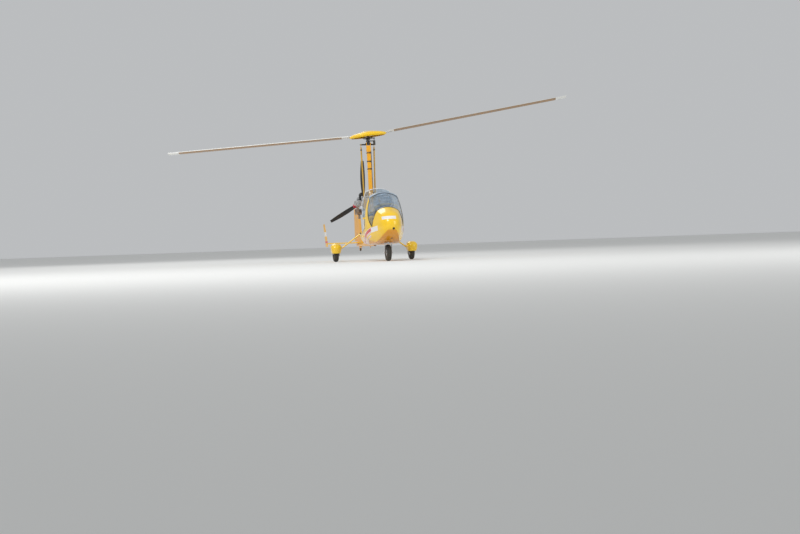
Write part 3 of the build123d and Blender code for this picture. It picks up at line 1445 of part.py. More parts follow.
with BuildPart() as propeller_hub:
    with BuildSketch(across(PROP_STATION - PROP_HUB_HALF)):
        with Locations((0, PROP_Z)):
            Circle(PROP_HUB_RADIUS)
    extrude(amount=2 * PROP_HUB_HALF)
    flange_rear = CRANKCASE_REAR - GEARBOX_LENGTH - FLANGE_LENGTH
    with BuildSketch(across(PROP_STATION + PROP_HUB_HALF)):
        with Locations((0, PROP_Z)):
            Circle(50)
    extrude(amount=flange_rear - 8 - PROP_STATION - PROP_HUB_HALF)
    with BuildSketch(across(PROP_STATION - PROP_HUB_HALF)):
        with Locations((0, PROP_Z)):
            Circle(46)
    extrude(amount=-20)
propeller_hub.part.label = "propeller_hub"
export_step(propeller_hub.part, "parts/propeller_hub.step")
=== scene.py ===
"""Looks of a two-seat open gyrocopter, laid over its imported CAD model.

Metres throughout. +X is forward, +Y is the port side, +Z is up, and the ground is Z = 0.
Each sub-assembly is a class that holds its sizes and dresses its own pieces.
"""

from __future__ import annotations

import json
import logging
import math
from dataclasses import dataclass, field
from enum import Enum
from typing import Iterable, Sequence

import bmesh
import bpy
from mathutils import Matrix, Vector
from mathutils.bvhtree import BVHTree

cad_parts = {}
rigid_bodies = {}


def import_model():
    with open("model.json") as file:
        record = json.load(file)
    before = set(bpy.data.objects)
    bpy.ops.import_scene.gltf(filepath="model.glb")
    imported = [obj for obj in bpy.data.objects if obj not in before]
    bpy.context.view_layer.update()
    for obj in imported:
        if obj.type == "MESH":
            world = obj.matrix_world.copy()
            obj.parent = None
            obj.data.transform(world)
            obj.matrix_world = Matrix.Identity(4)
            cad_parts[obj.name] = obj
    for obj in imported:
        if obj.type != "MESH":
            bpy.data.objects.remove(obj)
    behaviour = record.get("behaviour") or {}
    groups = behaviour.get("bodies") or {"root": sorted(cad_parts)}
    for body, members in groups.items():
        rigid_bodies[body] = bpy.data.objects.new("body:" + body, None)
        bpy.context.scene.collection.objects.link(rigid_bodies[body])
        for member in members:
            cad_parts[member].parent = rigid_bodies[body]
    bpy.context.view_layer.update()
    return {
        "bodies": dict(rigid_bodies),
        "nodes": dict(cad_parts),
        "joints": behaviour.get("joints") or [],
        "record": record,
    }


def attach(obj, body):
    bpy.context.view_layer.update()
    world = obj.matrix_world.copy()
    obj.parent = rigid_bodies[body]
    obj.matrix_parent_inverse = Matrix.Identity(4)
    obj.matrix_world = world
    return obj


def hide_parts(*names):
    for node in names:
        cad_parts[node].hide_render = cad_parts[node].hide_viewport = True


log = logging.getLogger("gyrocopter")

Colour = tuple[float, float, float]
Places = list[tuple[Vector, Vector]]
Piece = bpy.types.Object
Shape = bmesh.types.BMesh
Socket = bpy.types.NodeSocket
Node = bpy.types.Node
Tree = bpy.types.NodeTree

WELD_DISTANCE = 1e-6
SHARP_ANGLE = math.radians(35)
WHEEL_RADIUS = 0.165
NOSE_STATION = 1.8
PROPELLER_HEIGHT = 1.285
AXLE_X = 0.05
UP = Vector((0, 0, 1))
PORT = Vector((0, 1, 0))
AHEAD = Vector((1, 0, 0))
HEAD_PIVOT = Vector((-0.169719, 0, 2.457485))
HEAD_SHAFT = Vector((-0.139173, 0, 0.990268))
HEAD_AHEAD = Vector((0.990268, 0, 0.139173))
TEETER_BOLT = Vector((-0.201033, 0, 2.680295))
ROTOR_UP = Vector((-0.154898, -0.076745, 0.984945))
ROTOR_AHEAD = Vector((0.968628, -0.207912, 0.136132))
ROTOR_PORT = ROTOR_UP.cross(ROTOR_AHEAD)
BLADE_ORIGIN = TEETER_BOLT - ROTOR_UP * 0.055
CONING = math.radians(2.9)
MAST_FOOT = Vector((AXLE_X, 0, 0.367))
MAST_LEAN = math.radians(6)
MAST_UP = Vector((-math.sin(MAST_LEAN), 0, math.cos(MAST_LEAN)))
MAST_AHEAD = Vector((math.cos(MAST_LEAN), 0, math.sin(MAST_LEAN)))


class Side(Enum):
    """Port or starboard."""

    LEFT = 1
    RIGHT = -1


def at(station: float, y: float, z: float) -> Vector:
    """Point at a station ahead of the main axle, a distance to port and a height."""
    return Vector((AXLE_X + station, y, z))


def blade_out(side: Side) -> Vector:
    """Direction from the rotor's axis to the tip of a blade."""
    return ROTOR_PORT * (side.value * math.cos(CONING)) + ROTOR_UP * math.sin(CONING)


# Shader work


class Sheet:
    """A node tree with short ways to add and join nodes."""

    def __init__(self, tree: Tree) -> None:
        """Keeps the tree to work on."""
        self.tree = tree

    def add(self, kind: str, **settings: object) -> Node:
        """Adds a node and sets its properties.

        Args:
            kind: The node's type name.
            **settings: Properties by name.

        Returns:
            The new node.
        """
        node = self.tree.nodes.new(kind)
        for name, value in settings.items():
            setattr(node, name, value)
        return node

    def feed(self, socket: Socket, value: object) -> None:
        """Sets a socket to a value, or links it.

        Args:
            socket: The input socket.
            value: A number, a tuple or an output socket.
        """
        if isinstance(value, Socket):
            self.tree.links.new(value, socket)
        elif isinstance(value, tuple) and len(value) == 3 and socket.type == "RGBA":
            socket.default_value = (*value, 1.0)
        else:
            socket.default_value = value

    def fill(self, node: Node, **values: object) -> None:
        """Sets or links a node's inputs by name, with _ for a space."""
        for name, value in values.items():
            self.feed(node.inputs[name.replace("_", " ")], value)

    def math(self, operation: str, *values: object, clamp: bool = False) -> Socket:
        """Adds a Math node.

        Args:
            operation: Its operation.
            *values: Its inputs in order.
            clamp: Whether the result is kept from 0 to 1.

        Returns:
            Its output.
        """
        node = self.add("ShaderNodeMath", operation=operation, use_clamp=clamp)
        for socket, value in zip(node.inputs, values):
            self.feed(socket, value)
        return node.outputs[0]

    def mix(self, factor: object, first: object, second: object) -> Socket:
        """Mixes two colours.

        Args:
            factor: Share of the second.
            first: First colour.
            second: Second colour.

        Returns:
            The mixed colour.
        """
        node = self.add("ShaderNodeMix", data_type="RGBA")
        self.feed(node.inputs[0], factor)
        self.feed(node.inputs[6], first)
        self.feed(node.inputs[7], second)
        return node.outputs[2]

    def ramp(self, value: object, low: float, high: float, smooth: bool = True) -> Socket:
        """Maps a value to 0 at low and 1 at high.

        Args:
            value: The value.
            low: Where the result is 0.
            high: Where the result is 1.
            smooth: Whether the ends are eased.

        Returns:
            The mapped value.
        """
        node = self.add("ShaderNodeMapRange", interpolation_type="SMOOTHSTEP" if smooth else "LINEAR")
        self.feed(node.inputs[0], value)
        self.feed(node.inputs[1], low)
        self.feed(node.inputs[2], high)
        return node.outputs[0]

    def band(self, value: object, low: float, high: float, edge: float = 0.0015) -> Socket:
        """Gives 1 between two limits and 0 outside.

        Args:
            value: The value.
            low: Lower limit.
            high: Upper limit.
            edge: Width of each edge.

        Returns:
            The mask.
        """
        rising = self.ramp(value, low - edge, low + edge)
        falling = self.ramp(value, high + edge, high - edge)
        return self.math("MULTIPLY", rising, falling)

    def spot(self) -> Socket:
        """Adds Object coordinates."""
        return self.add("ShaderNodeTexCoord").outputs["Object"]

    def place(self) -> Node:
        """Adds Separate XYZ on Object coordinates.

        Returns:
            The node that gives X, Y and Z.
        """
        split = self.add("ShaderNodeSeparateXYZ")
        self.fill(split, Vector=self.spot())
        return split

    def noise(self, scale: object, detail: float) -> Socket:
        """Adds noise on Object coordinates.

        Args:
            scale: Its scale.
            detail: Its detail.

        Returns:
            Its value.
        """
        node = self.add("ShaderNodeTexNoise")
        self.fill(node, Vector=self.spot(), Scale=scale, Detail=detail)
        return node.outputs[0]

    def along(self, direction: Vector) -> Socket:
        """Distance along a direction, from Object coordinates.

        Args:
            direction: The direction.

        Returns:
            The distance.
        """
        node = self.add("ShaderNodeVectorMath", operation="DOT_PRODUCT")
        self.feed(node.inputs[0], self.spot())
        self.feed(node.inputs[1], tuple(direction))
        return node.outputs["Value"]

    def group(self, tree: Tree, **values: object) -> Node:
        """Places a node group.

        Args:
            tree: The group's tree.
            **values: Its inputs, with _ for a space.

        Returns:
            The group node.
        """
        node = self.add("ShaderNodeGroup", node_tree=tree)
        self.fill(node, **values)
        return node


def start_tree(
    kind: str, name: str, inputs: Sequence[tuple[str, str, object]], outputs: Sequence[tuple[str, str]]
) -> tuple:
    """Starts a node group with named inputs and outputs.

    Args:
        kind: Shader or Geometry.
        name: Its name.
        inputs: Name, type and default of each input, or None for no default.
        outputs: Name and type of each output.

    Returns:
        The tree, its sheet, the sockets that it is given and its output node.
    """
    tree = bpy.data.node_groups.new(name, f"{kind}NodeTree")
    for label, sort, default in inputs:
        socket = tree.interface.new_socket(label, in_out="INPUT", socket_type=f"NodeSocket{sort}")
        if default is not None:
            socket.default_value = default
    for label, sort in outputs:
        tree.interface.new_socket(label, in_out="OUTPUT", socket_type=f"NodeSocket{sort}")
    sheet = Sheet(tree)
    return tree, sheet, sheet.add("NodeGroupInput").outputs, sheet.add("NodeGroupOutput")


def weathering_group() -> Tree:
    """Makes the group for uneven colour and for dust that lies on the low parts.

    Returns:
        The group.
    """
    tree, sheet, given, out = start_tree(
        "Shader",
        "weathering",
        (
            ("Colour", "Color", (0.5, 0.5, 0.5, 1.0)),
            ("Dust colour", "Color", (0.42, 0.36, 0.27, 1.0)),
            ("Unevenness", "Float", 0.08),
            ("Dust", "Float", 0.3),
            ("Dust height", "Float", 0.45),
            ("Roughness", "Float", 0.4),
            ("Patch size", "Float", 3.0),
        ),
        (("Colour", "Color"), ("Roughness", "Float")),
    )
    broad = sheet.noise(given["Patch size"], 5)
    fine = sheet.noise(130, 6)
    swing = sheet.math("MULTIPLY", sheet.math("SUBTRACT", broad, 0.5), given["Unevenness"])
    bright = sheet.math("ADD", 1.0, sheet.math("MULTIPLY", swing, 2.0))
    tone = sheet.add("ShaderNodeHueSaturation")
    sheet.fill(tone, Value=bright, Color=given["Colour"])
    height = sheet.math("DIVIDE", sheet.place().outputs[2], given["Dust height"])
    low = sheet.math("SUBTRACT", 1.0, height, clamp=True)
    speckle = sheet.ramp(fine, 0.3, 0.75)
    dust = sheet.math("MULTIPLY", sheet.math("MULTIPLY", low, speckle), given["Dust"], clamp=True)
    rough = sheet.math("ADD", given["Roughness"], sheet.math("MULTIPLY", dust, 0.35))
    rough = sheet.math("ADD", rough, sheet.math("MULTIPLY", sheet.math("SUBTRACT", fine, 0.5), 0.12))
    sheet.fill(out, Colour=sheet.mix(dust, tone.outputs[0], given["Dust colour"]), Roughness=rough)
    return tree


def grain_group() -> Tree:
    """Makes the group for the fine relief of paint, moulded plastic and cast metal.

    Returns:
        The group.
    """
    inputs = (("Size", "Float", 0.002), ("Ripple", "Float", 0.5))
    tree, sheet, given, out = start_tree("Shader", "fine_grain", inputs, (("Height", "Float"),))
    scale = sheet.math("DIVIDE", 1.0, given["Size"])
    fine = sheet.noise(scale, 3)
    broad = sheet.noise(sheet.math("MULTIPLY", scale, 0.12), 2)
    sheet.fill(out, Height=sheet.math("ADD", fine, sheet.math("MULTIPLY", broad, given["Ripple"])))
    return tree


def weave_group() -> Tree:
    """Makes the group for a plain weave of two crossing yarns.

    Returns:
        The group.
    """
    inputs = (("Yarn", "Float", 0.0012),)
    tree, sheet, given, out = start_tree("Shader", "plain_weave", inputs, (("Height", "Float"),))
    place = sheet.place()
    turns = sheet.math("DIVIDE", math.pi, given["Yarn"])
    across = sheet.math("SINE", sheet.math("MULTIPLY", place.outputs[1], turns))
    slope = sheet.math("ADD", place.outputs[0], place.outputs[2])
    lengthwise = sheet.math("SINE", sheet.math("MULTIPLY", slope, turns))
    sheet.fill(out, Height=sheet.math("ABSOLUTE", sheet.math("MULTIPLY", across, lengthwise)))
    return tree


def start_material(name: str) -> tuple[bpy.types.Material, Sheet, Node]:
    """Starts a material.

    Args:
        name: Its name.

    Returns:
        The material, its sheet and its shader.
    """
    material = bpy.data.materials.new(name)
    material.use_nodes = True
    return material, Sheet(material.node_tree), material.node_tree.nodes["Principled BSDF"]


@dataclass
class Groups:
    """The shader groups that the finishes share."""

    weathering: Tree
    grain: Tree
    weave: Tree


@dataclass(frozen=True)
class Finish:
    """A finish of one colour with uneven tone, dust and fine relief."""

    name: str
    colour: Colour
    roughness: float = 0.4
    metallic: float = 0.0
    coat: float = 0.0
    unevenness: float = 0.06
    dust: float = 0.25
    dust_height: float = 0.45
    grain_size: float = 0.004
    grain_depth: float = 0.00012
    ripple: float = 0.6
    sheen: float = 0.0

    def tint(self, sheet: Sheet) -> object:
        """Gives the colour before weathering, as a colour or an output socket."""
        return self.colour

    def relief(self, sheet: Sheet, groups: Groups) -> Socket:
        """Gives the height that the bump reads."""
        return sheet.group(groups.grain, Size=self.grain_size, Ripple=self.ripple).outputs["Height"]

    def build(self, groups: Groups) -> bpy.types.Material:
        """Makes the material.

        Args:
            groups: The shared groups.

        Returns:
            The material.
        """
        material, sheet, shader = start_material(self.name)
        worn = sheet.group(
            groups.weathering,
            Colour=self.tint(sheet),
            Unevenness=self.unevenness,
            Dust=self.dust,
            Dust_height=self.dust_height,
            Roughness=self.roughness,
        )
        bump = sheet.add("ShaderNodeBump")
        sheet.fill(bump, Distance=self.grain_depth, Strength=0.6, Height=self.relief(sheet, groups))
        sheet.fill(
            shader,
            Base_Color=worn.outputs["Colour"],
            Roughness=worn.outputs["Roughness"],
            Metallic=self.metallic,
            Coat_Weight=self.coat,
            Coat_Roughness=0.06,
            Sheen_Weight=self.sheen,
            Normal=bump.outputs[0],
        )
        return material


@dataclass(frozen=True)
class StripedPaint(Finish):
    """The pod's paint: slanting stripes low on each side, blank white patches on the flanks, a painted highlight on
    the nose and painted shade on the belly.
    """

    red: Colour = (0.62, 0.02, 0.03)
    pink: Colour = (0.80, 0.34, 0.30)
    white: Colour = (0.86, 0.83, 0.80)
    # Painted shade: the belly colour is the yellow paint as it looks in shade.
    belly: Colour = (0.80, 0.33, 0.008)
    slope: float = 0.30
    stripe_front: float = 1.44
    stripe_rear: float = 0.45

    def tint(self, sheet: Sheet) -> object:
        """Lays the painted belly shade, the stripes, the blank flank patches and the painted nose highlight over the
        base colour by side-view place.

        Args:
            sheet: The material's tree.

        Returns:
            The striped colour.
        """
        place = sheet.place()
        lift = sheet.math("MULTIPLY", place.outputs[0], -self.slope)
        level = sheet.math("ADD", place.outputs[2], lift)
        normal = sheet.add("ShaderNodeSeparateXYZ")
        sheet.feed(normal.inputs[0], sheet.add("ShaderNodeNewGeometry").outputs["Normal"])
        outward = sheet.ramp(sheet.math("MULTIPLY", normal.outputs[1], place.outputs[1]), 0.0, 0.01)
        flank = sheet.math("MULTIPLY", sheet.ramp(sheet.math("ABSOLUTE", place.outputs[1]), 0.2, 0.21), outward)
        lean = sheet.math("SUBTRACT", place.outputs[0], sheet.math("MULTIPLY", place.outputs[2], 0.6))
        reach = sheet.band(lean, self.stripe_rear, self.stripe_front, 0.004)
        shown = sheet.math("MULTIPLY", flank, reach)
        # Painted shade: surfaces that face downward take the deeper orange of the belly in shade.
        belly_shade_mask = sheet.ramp(normal.outputs[2], -0.42, -0.58)
        colour = sheet.mix(belly_shade_mask, self.colour, self.belly)
        for low, high, tone in (
            (0.03, 0.138, self.white),
            (0.066, 0.128, self.red),
            (0.038, 0.05, self.pink),
            (-0.03, 0.005, self.white),
            (-0.023, -0.008, self.pink),
        ):
            colour = sheet.mix(sheet.math("MULTIPLY", shown, sheet.band(level, low, high)), colour, tone)
        colour = sheet.mix(self.patch(sheet, place, (1.80, 2.12), (0.575, 0.67), flank), colour, self.white)
        # Painted highlight: a white patch across the nose, a little to starboard, stands in for the light's bright
        # reflection there.
        nose = sheet.ramp(place.outputs[0], 1.9, 1.91)
        across = sheet.band(place.outputs[1], -0.175, 0.095)
        return sheet.mix(self.patch(sheet, place, (1.9, 2.5), (0.775, 0.84), across, nose), colour, self.white)

    @staticmethod
    def patch(
        sheet: Sheet, place: Node, along: tuple[float, float], upright: tuple[float, float], *masks: object
    ) -> Socket:
        """Mask of a white patch between two stations and two heights, used for the blank patches on the flanks and
        for the painted highlight on the nose.

        Args:
            sheet: The material's tree.
            place: The node that gives X, Y and Z.
            along: Its limits along X.
            upright: Its limits along Z.
            *masks: Other masks that it keeps to.

        Returns:
            The mask.
        """
        tilt = sheet.math("MULTIPLY", place.outputs[0], 0.12)
        level = sheet.math("SUBTRACT", place.outputs[2], sheet.math("SUBTRACT", tilt, 0.12 * along[0]))
        mask = sheet.math("MULTIPLY", sheet.band(place.outputs[0], *along), sheet.band(level, *upright))
        for other in masks:
            mask = sheet.math("MULTIPLY", mask, other)
        return mask


@dataclass(frozen=True)
class RimPaint(Finish):
    """The windscreen rim's paint, which gives way to a pale clear edging over the top."""

    edging: Colour = (0.30, 0.38, 0.46)
    yellow_top: float = 1.2

    def tint(self, sheet: Sheet) -> object:
        """Parts the two colours on a slanting line.

        Args:
            sheet: The material's tree.

        Returns:
            The colour.
        """
        place = sheet.place()
        slanted = sheet.math("ADD", place.outputs[2], sheet.math("MULTIPLY", place.outputs[0], 0.9))
        top = self.yellow_top + 0.9 * (AXLE_X + 1.5)
        return sheet.mix(sheet.ramp(slanted, top - 0.004, top + 0.004), self.colour, self.edging)


@dataclass(frozen=True)
class BandedPaint(Finish):
    """The end fins' paint, with a white band in the middle and a red one below."""

    red: Colour = (0.72, 0.03, 0.03)
    white: Colour = (0.86, 0.83, 0.78)

    def tint(self, sheet: Sheet) -> object:
        """Lays the bands over the base colour by height.

        Args:
            sheet: The material's tree.

        Returns:
            The banded colour.
        """
        height = sheet.place().outputs[2]
        colour = sheet.mix(sheet.band(height, 0.545, 0.64), self.colour, self.white)
        return sheet.mix(sheet.band(height, 0.40, 0.44), colour, self.red)


@dataclass(frozen=True)
class BladePaint(Finish):
    """A rotor blade's paint, light above, with painted shade below: a dark warm brown stands in for the shaded
    underside.
    """

    side: Side = Side.LEFT
    # Painted shade: the underside colour is the blade as it looks in shade, warmed by light thrown up from the
    # ground.
    below: Colour = (0.30, 0.145, 0.02)

    def tint(self, sheet: Sheet) -> object:
        """Parts the light top colour from the painted underside shade at the blade's chord plane.

        Args:
            sheet: The material's tree.

        Returns:
            The colour.
        """
        out = blade_out(self.side)
        up = out.cross(ROTOR_AHEAD * -self.side.value)
        height = sheet.math("SUBTRACT", sheet.along(up), BLADE_ORIGIN.dot(up))
        split = sheet.ramp(sheet.math("MULTIPLY", height, math.copysign(1, up.z)), -0.0025, -0.001)
        reach = sheet.math("SUBTRACT", sheet.along(out), BLADE_ORIGIN.dot(out))
        tip = sheet.ramp(reach, 4.0, 4.005)
        root = sheet.ramp(reach, 0.56, 0.55)
        pale = sheet.math("MAXIMUM", split, sheet.math("MAXIMUM", tip, root))
        return sheet.mix(pale, self.below, self.colour)


@dataclass(frozen=True)
class Cloth(Finish):
    """A woven fabric."""

    yarn: float = 0.0016

    def relief(self, sheet: Sheet, groups: Groups) -> Socket:
        """Gives the height of the weave."""
        return sheet.group(groups.weave, Yarn=self.yarn).outputs["Height"]


@dataclass(frozen=True)
class ClearSheet:
    """Tinted transparent sheet of the windscreens."""

    name: str = "tinted_sheet"
    colour: Colour = (0.50, 0.68, 0.86)

    def build(self, groups: Groups) -> bpy.types.Material:
        """Makes the material.

        Args:
            groups: The shared groups.

        Returns:
            The material.
        """
        material, sheet, shader = start_material(self.name)
        worn = sheet.group(groups.weathering, Colour=self.colour, Unevenness=0.03, Dust=0.1, Roughness=0.06)
        sheet.fill(shader, Base_Color=worn.outputs["Colour"], Roughness=worn.outputs["Roughness"])
        sheet.fill(shader, Transmission_Weight=0.9, IOR=1.3, Alpha=0.5)
        return material


YELLOW: Colour = (0.96, 0.60, 0.008)
FRAME_YELLOW: Colour = (0.88, 0.41, 0.010)

FINISHES = {
    "yellow_shell": Finish("yellow_gelcoat", YELLOW, 0.24, coat=0.6),
    "rim": RimPaint("rim_paint", YELLOW, 0.24, coat=0.6),
    "tail": Finish("tail_paint", (0.90, 0.43, 0.006), 0.4, coat=0.15),
    "pod": StripedPaint("pod_paint", YELLOW, 0.24, coat=0.6),
    "end_fins": BandedPaint("end_fin_paint", (0.92, 0.47, 0.006), 0.36, coat=0.2),
    "white_shell": Finish("white_gelcoat", (0.82, 0.82, 0.79), 0.28, dust=0.1, coat=0.4),
    "yellow_tube": Finish("yellow_tube_paint", FRAME_YELLOW, 0.3, coat=0.3),
    "yellow_leg": Finish("yellow_leg_paint", YELLOW, 0.28, coat=0.4),
    "yellow_rod": Finish("yellow_rod_paint", (0.60, 0.36, 0.04), 0.3, coat=0.3),
    "black_plastic": Finish("moulded_black", (0.022, 0.022, 0.024), 0.55, grain_size=0.0015, grain_depth=0.0003),
    "black_metal": Finish("powder_black", (0.02, 0.02, 0.022), 0.42, grain_size=0.0008, grain_depth=0.0001),
    "black_aluminium": Finish("black_core", (0.03, 0.03, 0.032), 0.45, metallic=0.4),
    "dark_metal": Finish("dark_anodised", (0.075, 0.068, 0.06), 0.36, metallic=0.8, grain_size=0.0012),
    "brake_disc": Finish("brake_disc_steel", (0.42, 0.41, 0.4), 0.25, metallic=1.0, grain_size=0.0005),
    "steel": Finish("bright_steel", (0.55, 0.55, 0.56), 0.28, metallic=1.0, grain_size=0.0008),
    "burnt_steel": Finish("burnt_steel", (0.34, 0.26, 0.2), 0.38, metallic=1.0, unevenness=0.4),
    "aluminium": Finish(
        "cast_aluminium", (0.62, 0.62, 0.63), 0.38, metallic=1.0, grain_size=0.0015, grain_depth=0.0002
    ),
    "red_filter": Cloth("oiled_gauze", (0.55, 0.03, 0.05), 0.7, yarn=0.003, grain_depth=0.0015),
    "tyre": Finish(
        "tyre_rubber", (0.018, 0.018, 0.018), 0.82, dust=0.4, dust_height=0.35, grain_size=0.0012, grain_depth=0.0003
    ),
    "black_blade": Finish("propeller_carbon", (0.018, 0.018, 0.02), 0.3, coat=0.4),
    "left_blade": BladePaint("left_blade_paint", (0.8, 0.8, 0.77), 0.3, dust=0.0, side=Side.LEFT),
    "right_blade": BladePaint("right_blade_paint", (0.8, 0.8, 0.77), 0.3, dust=0.0, side=Side.RIGHT),
    "pad": Cloth("pad_cloth", (0.022, 0.023, 0.028), 0.85, dust=0.1, yarn=0.0022, grain_depth=0.0006, sheen=0.3),
    "piping": Cloth("piping_cloth", (0.2, 0.2, 0.21), 0.8, yarn=0.0012, grain_depth=0.0003),
    "webbing": Cloth("harness_webbing", (0.05, 0.05, 0.055), 0.75, yarn=0.0028, grain_depth=0.0007, sheen=0.2),
    "red_button": Finish("red_button", (0.6, 0.02, 0.02), 0.35, dust=0.1),
    "seal": Finish("seal_rubber", (0.015, 0.015, 0.016), 0.7, dust=0.1),
    "white_edge": Finish("white_edging", (0.8, 0.82, 0.84), 0.35),
    "dial_face": Finish("dial_black", (0.012, 0.012, 0.012), 0.5, dust=0.0),
    "dial_mark": Finish("dial_white", (0.85, 0.85, 0.82), 0.5, dust=0.0),
    "hose": Finish("hose_rubber", (0.02, 0.02, 0.02), 0.6, dust=0.1, grain_size=0.002),
    "glass": ClearSheet(),
}


def mix_paints() -> dict[str, bpy.types.Material]:
    """Makes every material once, by the name of its finish."""
    groups = Groups(weathering_group(), grain_group(), weave_group())
    return {name: finish.build(groups) for name, finish in FINISHES.items()}


# Mesh work


def stand(name: str, data: bpy.types.ID) -> Piece:
    """Puts data into the scene as an object at the origin.

    Args:
        name: The object's name.
        data: Its mesh, light or camera.

    Returns:
        The object.
    """
    item = bpy.data.objects.new(name, data)
    bpy.context.scene.collection.objects.link(item)
    return item


def apply_modifiers(piece: Piece) -> None:
    """Turns the evaluated shape into the piece's own mesh.

    Args:
        piece: The piece, which keeps no modifiers.
    """
    evaluated = piece.evaluated_get(bpy.context.evaluated_depsgraph_get())
    made = bpy.data.meshes.new_from_object(evaluated)
    piece.modifiers.clear()
    piece.data = made


def ride(piece: Piece, body: str) -> None:
    """Lets a piece ride on a body and reports it."""
    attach(piece, body)
    log.info("%s rides on %s", piece.name, body)


def spokes(count: int, first: Vector, second: Vector, shift: float = 0.0) -> list[Vector]:
    """Directions spread evenly round from the first to the second and on, shifted by a share of a step."""
    turns = [math.tau * (step + shift) / count for step in range(count)]
    return [first * math.cos(turn) + second * math.sin(turn) for turn in turns]


def close_rings(shape: Shape, rings: Sequence[Sequence[bmesh.types.BMVert]]) -> None:
    """Joins rings of the same count and caps both ends.

    Args:
        shape: The mesh to add to.
        rings: The rings in order.
    """
    for one, other in zip(rings, rings[1:]):
        for step in range(len(one)):
            after = (step + 1) % len(one)
            shape.faces.new((one[step], one[after], other[after], other[step]))
    shape.faces.new(tuple(reversed(rings[0])))
    shape.faces.new(tuple(rings[-1]))


def tube(shape: Shape, points: Sequence[Vector], radius: float, sides: int = 10) -> None:
    """Adds a closed-ended tube along points.

    Args:
        shape: The mesh to add to.
        points: The middle line.
        radius: The tube's radius.
        sides: Corners round the tube.
    """
    rings = []
    normal = None
    for index, point in enumerate(points):
        before = points[max(index - 1, 0)]
        after = points[min(index + 1, len(points) - 1)]
        run = (after - before).normalized()
        if normal is None:
            normal = run.orthogonal().normalized()
        normal = (normal - run * normal.dot(run)).normalized()
        second = run.cross(normal)
        ring = []
        for step in range(sides):
            turn = math.tau * step / sides
            offset = normal * (math.cos(turn) * radius) + second * (math.sin(turn) * radius)
            ring.append(shape.verts.new(point + offset))
        rings.append(ring)
    close_rings(shape, rings)


def curved(points: Sequence[Vector], steps: int = 8) -> list[Vector]:
    """Smooth line through points.

    Args:
        points: Points that it passes through.
        steps: Divisions of each run.

    Returns:
        Points along the line.
    """
    ends = [points[0] * 2 - points[1], *points, points[-1] * 2 - points[-2]]
    line = []
    for index in range(1, len(ends) - 2):
        a, b, c, d = ends[index - 1 : index + 3]
        for step in range(steps):
            t = step / steps
            line.append(
                0.5 * (2 * b + (c - a) * t + (2 * a - 5 * b + 4 * c - d) * t**2 + (3 * b - a - 3 * c + d) * t**3)
            )
    line.append(points[-1].copy())
    return line


def arc(
    start: tuple[float, float], middle: tuple[float, float], end: tuple[float, float], steps: int
) -> list[tuple[float, float]]:
    """Points of the circle arc through three points of a side view.

    Args:
        start: First point.
        middle: A point on the way.
        end: Last point.
        steps: Divisions of the arc.

    Returns:
        The points.
    """
    (ax, az), (bx, bz), (cx, cz) = start, middle, end
    a, b, c = ax**2 + az**2, bx**2 + bz**2, cx**2 + cz**2
    scale = 2 * (ax * (bz - cz) + bx * (cz - az) + cx * (az - bz))
    x = (a * (bz - cz) + b * (cz - az) + c * (az - bz)) / scale
    z = (a * (cx - bx) + b * (ax - cx) + c * (bx - ax)) / scale
    radius = math.hypot(ax - x, az - z)
    first = math.atan2(az - z, ax - x)
    sweep = (math.atan2(cz - z, cx - x) - first) % math.tau
    if (math.atan2(bz - z, bx - x) - first) % math.tau > sweep:
        sweep -= math.tau
    turns = [first + sweep * step / steps for step in range(steps + 1)]
    return [(x + radius * math.cos(turn), z + radius * math.sin(turn)) for turn in turns]


def lathe(
    shape: Shape,
    profile: Sequence[tuple[float, float]],
    centre: Vector,
    axis: Vector,
    steps: int = 48,
    closed: bool = False,
) -> None:
    """Adds a turned form.

    Args:
        shape: The mesh to add to.
        profile: Radius and place along the axis of each corner.
        centre: Point that places are counted from.
        axis: Direction of the axis.
        steps: Divisions round the axis.
        closed: Whether the last corner joins the first.
    """
    axis = axis.normalized()
    first = axis.orthogonal().normalized()
    second = axis.cross(first)
    rings = []
    for radius, along in profile:
        middle = centre + axis * along
        if radius < 1e-6:
            rings.append([shape.verts.new(middle)])
            continue
        rings.append([shape.verts.new(middle + way * radius) for way in spokes(steps, first, second)])
    pairs = list(zip(rings, rings[1:]))
    if closed:
        pairs.append((rings[-1], rings[0]))
    for one, other in pairs:
        for step in range(steps):
            after = (step + 1) % steps
            near = one[step % len(one)], one[after % len(one)]
            far = other[after % len(other)], other[step % len(other)]
            corners = list(dict.fromkeys(near + far))
            if len(corners) > 2:
                shape.faces.new(corners)


def block(
    shape: Shape, centre: Vector, size: Vector, turn: Matrix | None = None, bevel: float = 0.0
) -> None:
    """Adds a box with softened edges.

    Args:
        shape: The mesh to add to.
        centre: Its middle.
        size: Its full size.
        turn: Its rotation.
        bevel: Radius of its edges.
    """
    part = bmesh.new()
    bmesh.ops.create_cube(part, size=1)
    bmesh.ops.scale(part, vec=size, verts=part.verts)
    if bevel:
        bmesh.ops.bevel(part, geom=part.edges[:], offset=bevel, segments=2, affect="EDGES", profile=0.7)
    if turn is not None:
        bmesh.ops.rotate(part, cent=(0, 0, 0), matrix=turn, verts=part.verts)
    bmesh.ops.translate(part, vec=centre, verts=part.verts)
    mesh = bpy.data.meshes.new("part")
    part.to_mesh(mesh)
    part.free()
    shape.from_mesh(mesh)
    bpy.data.meshes.remove(mesh)


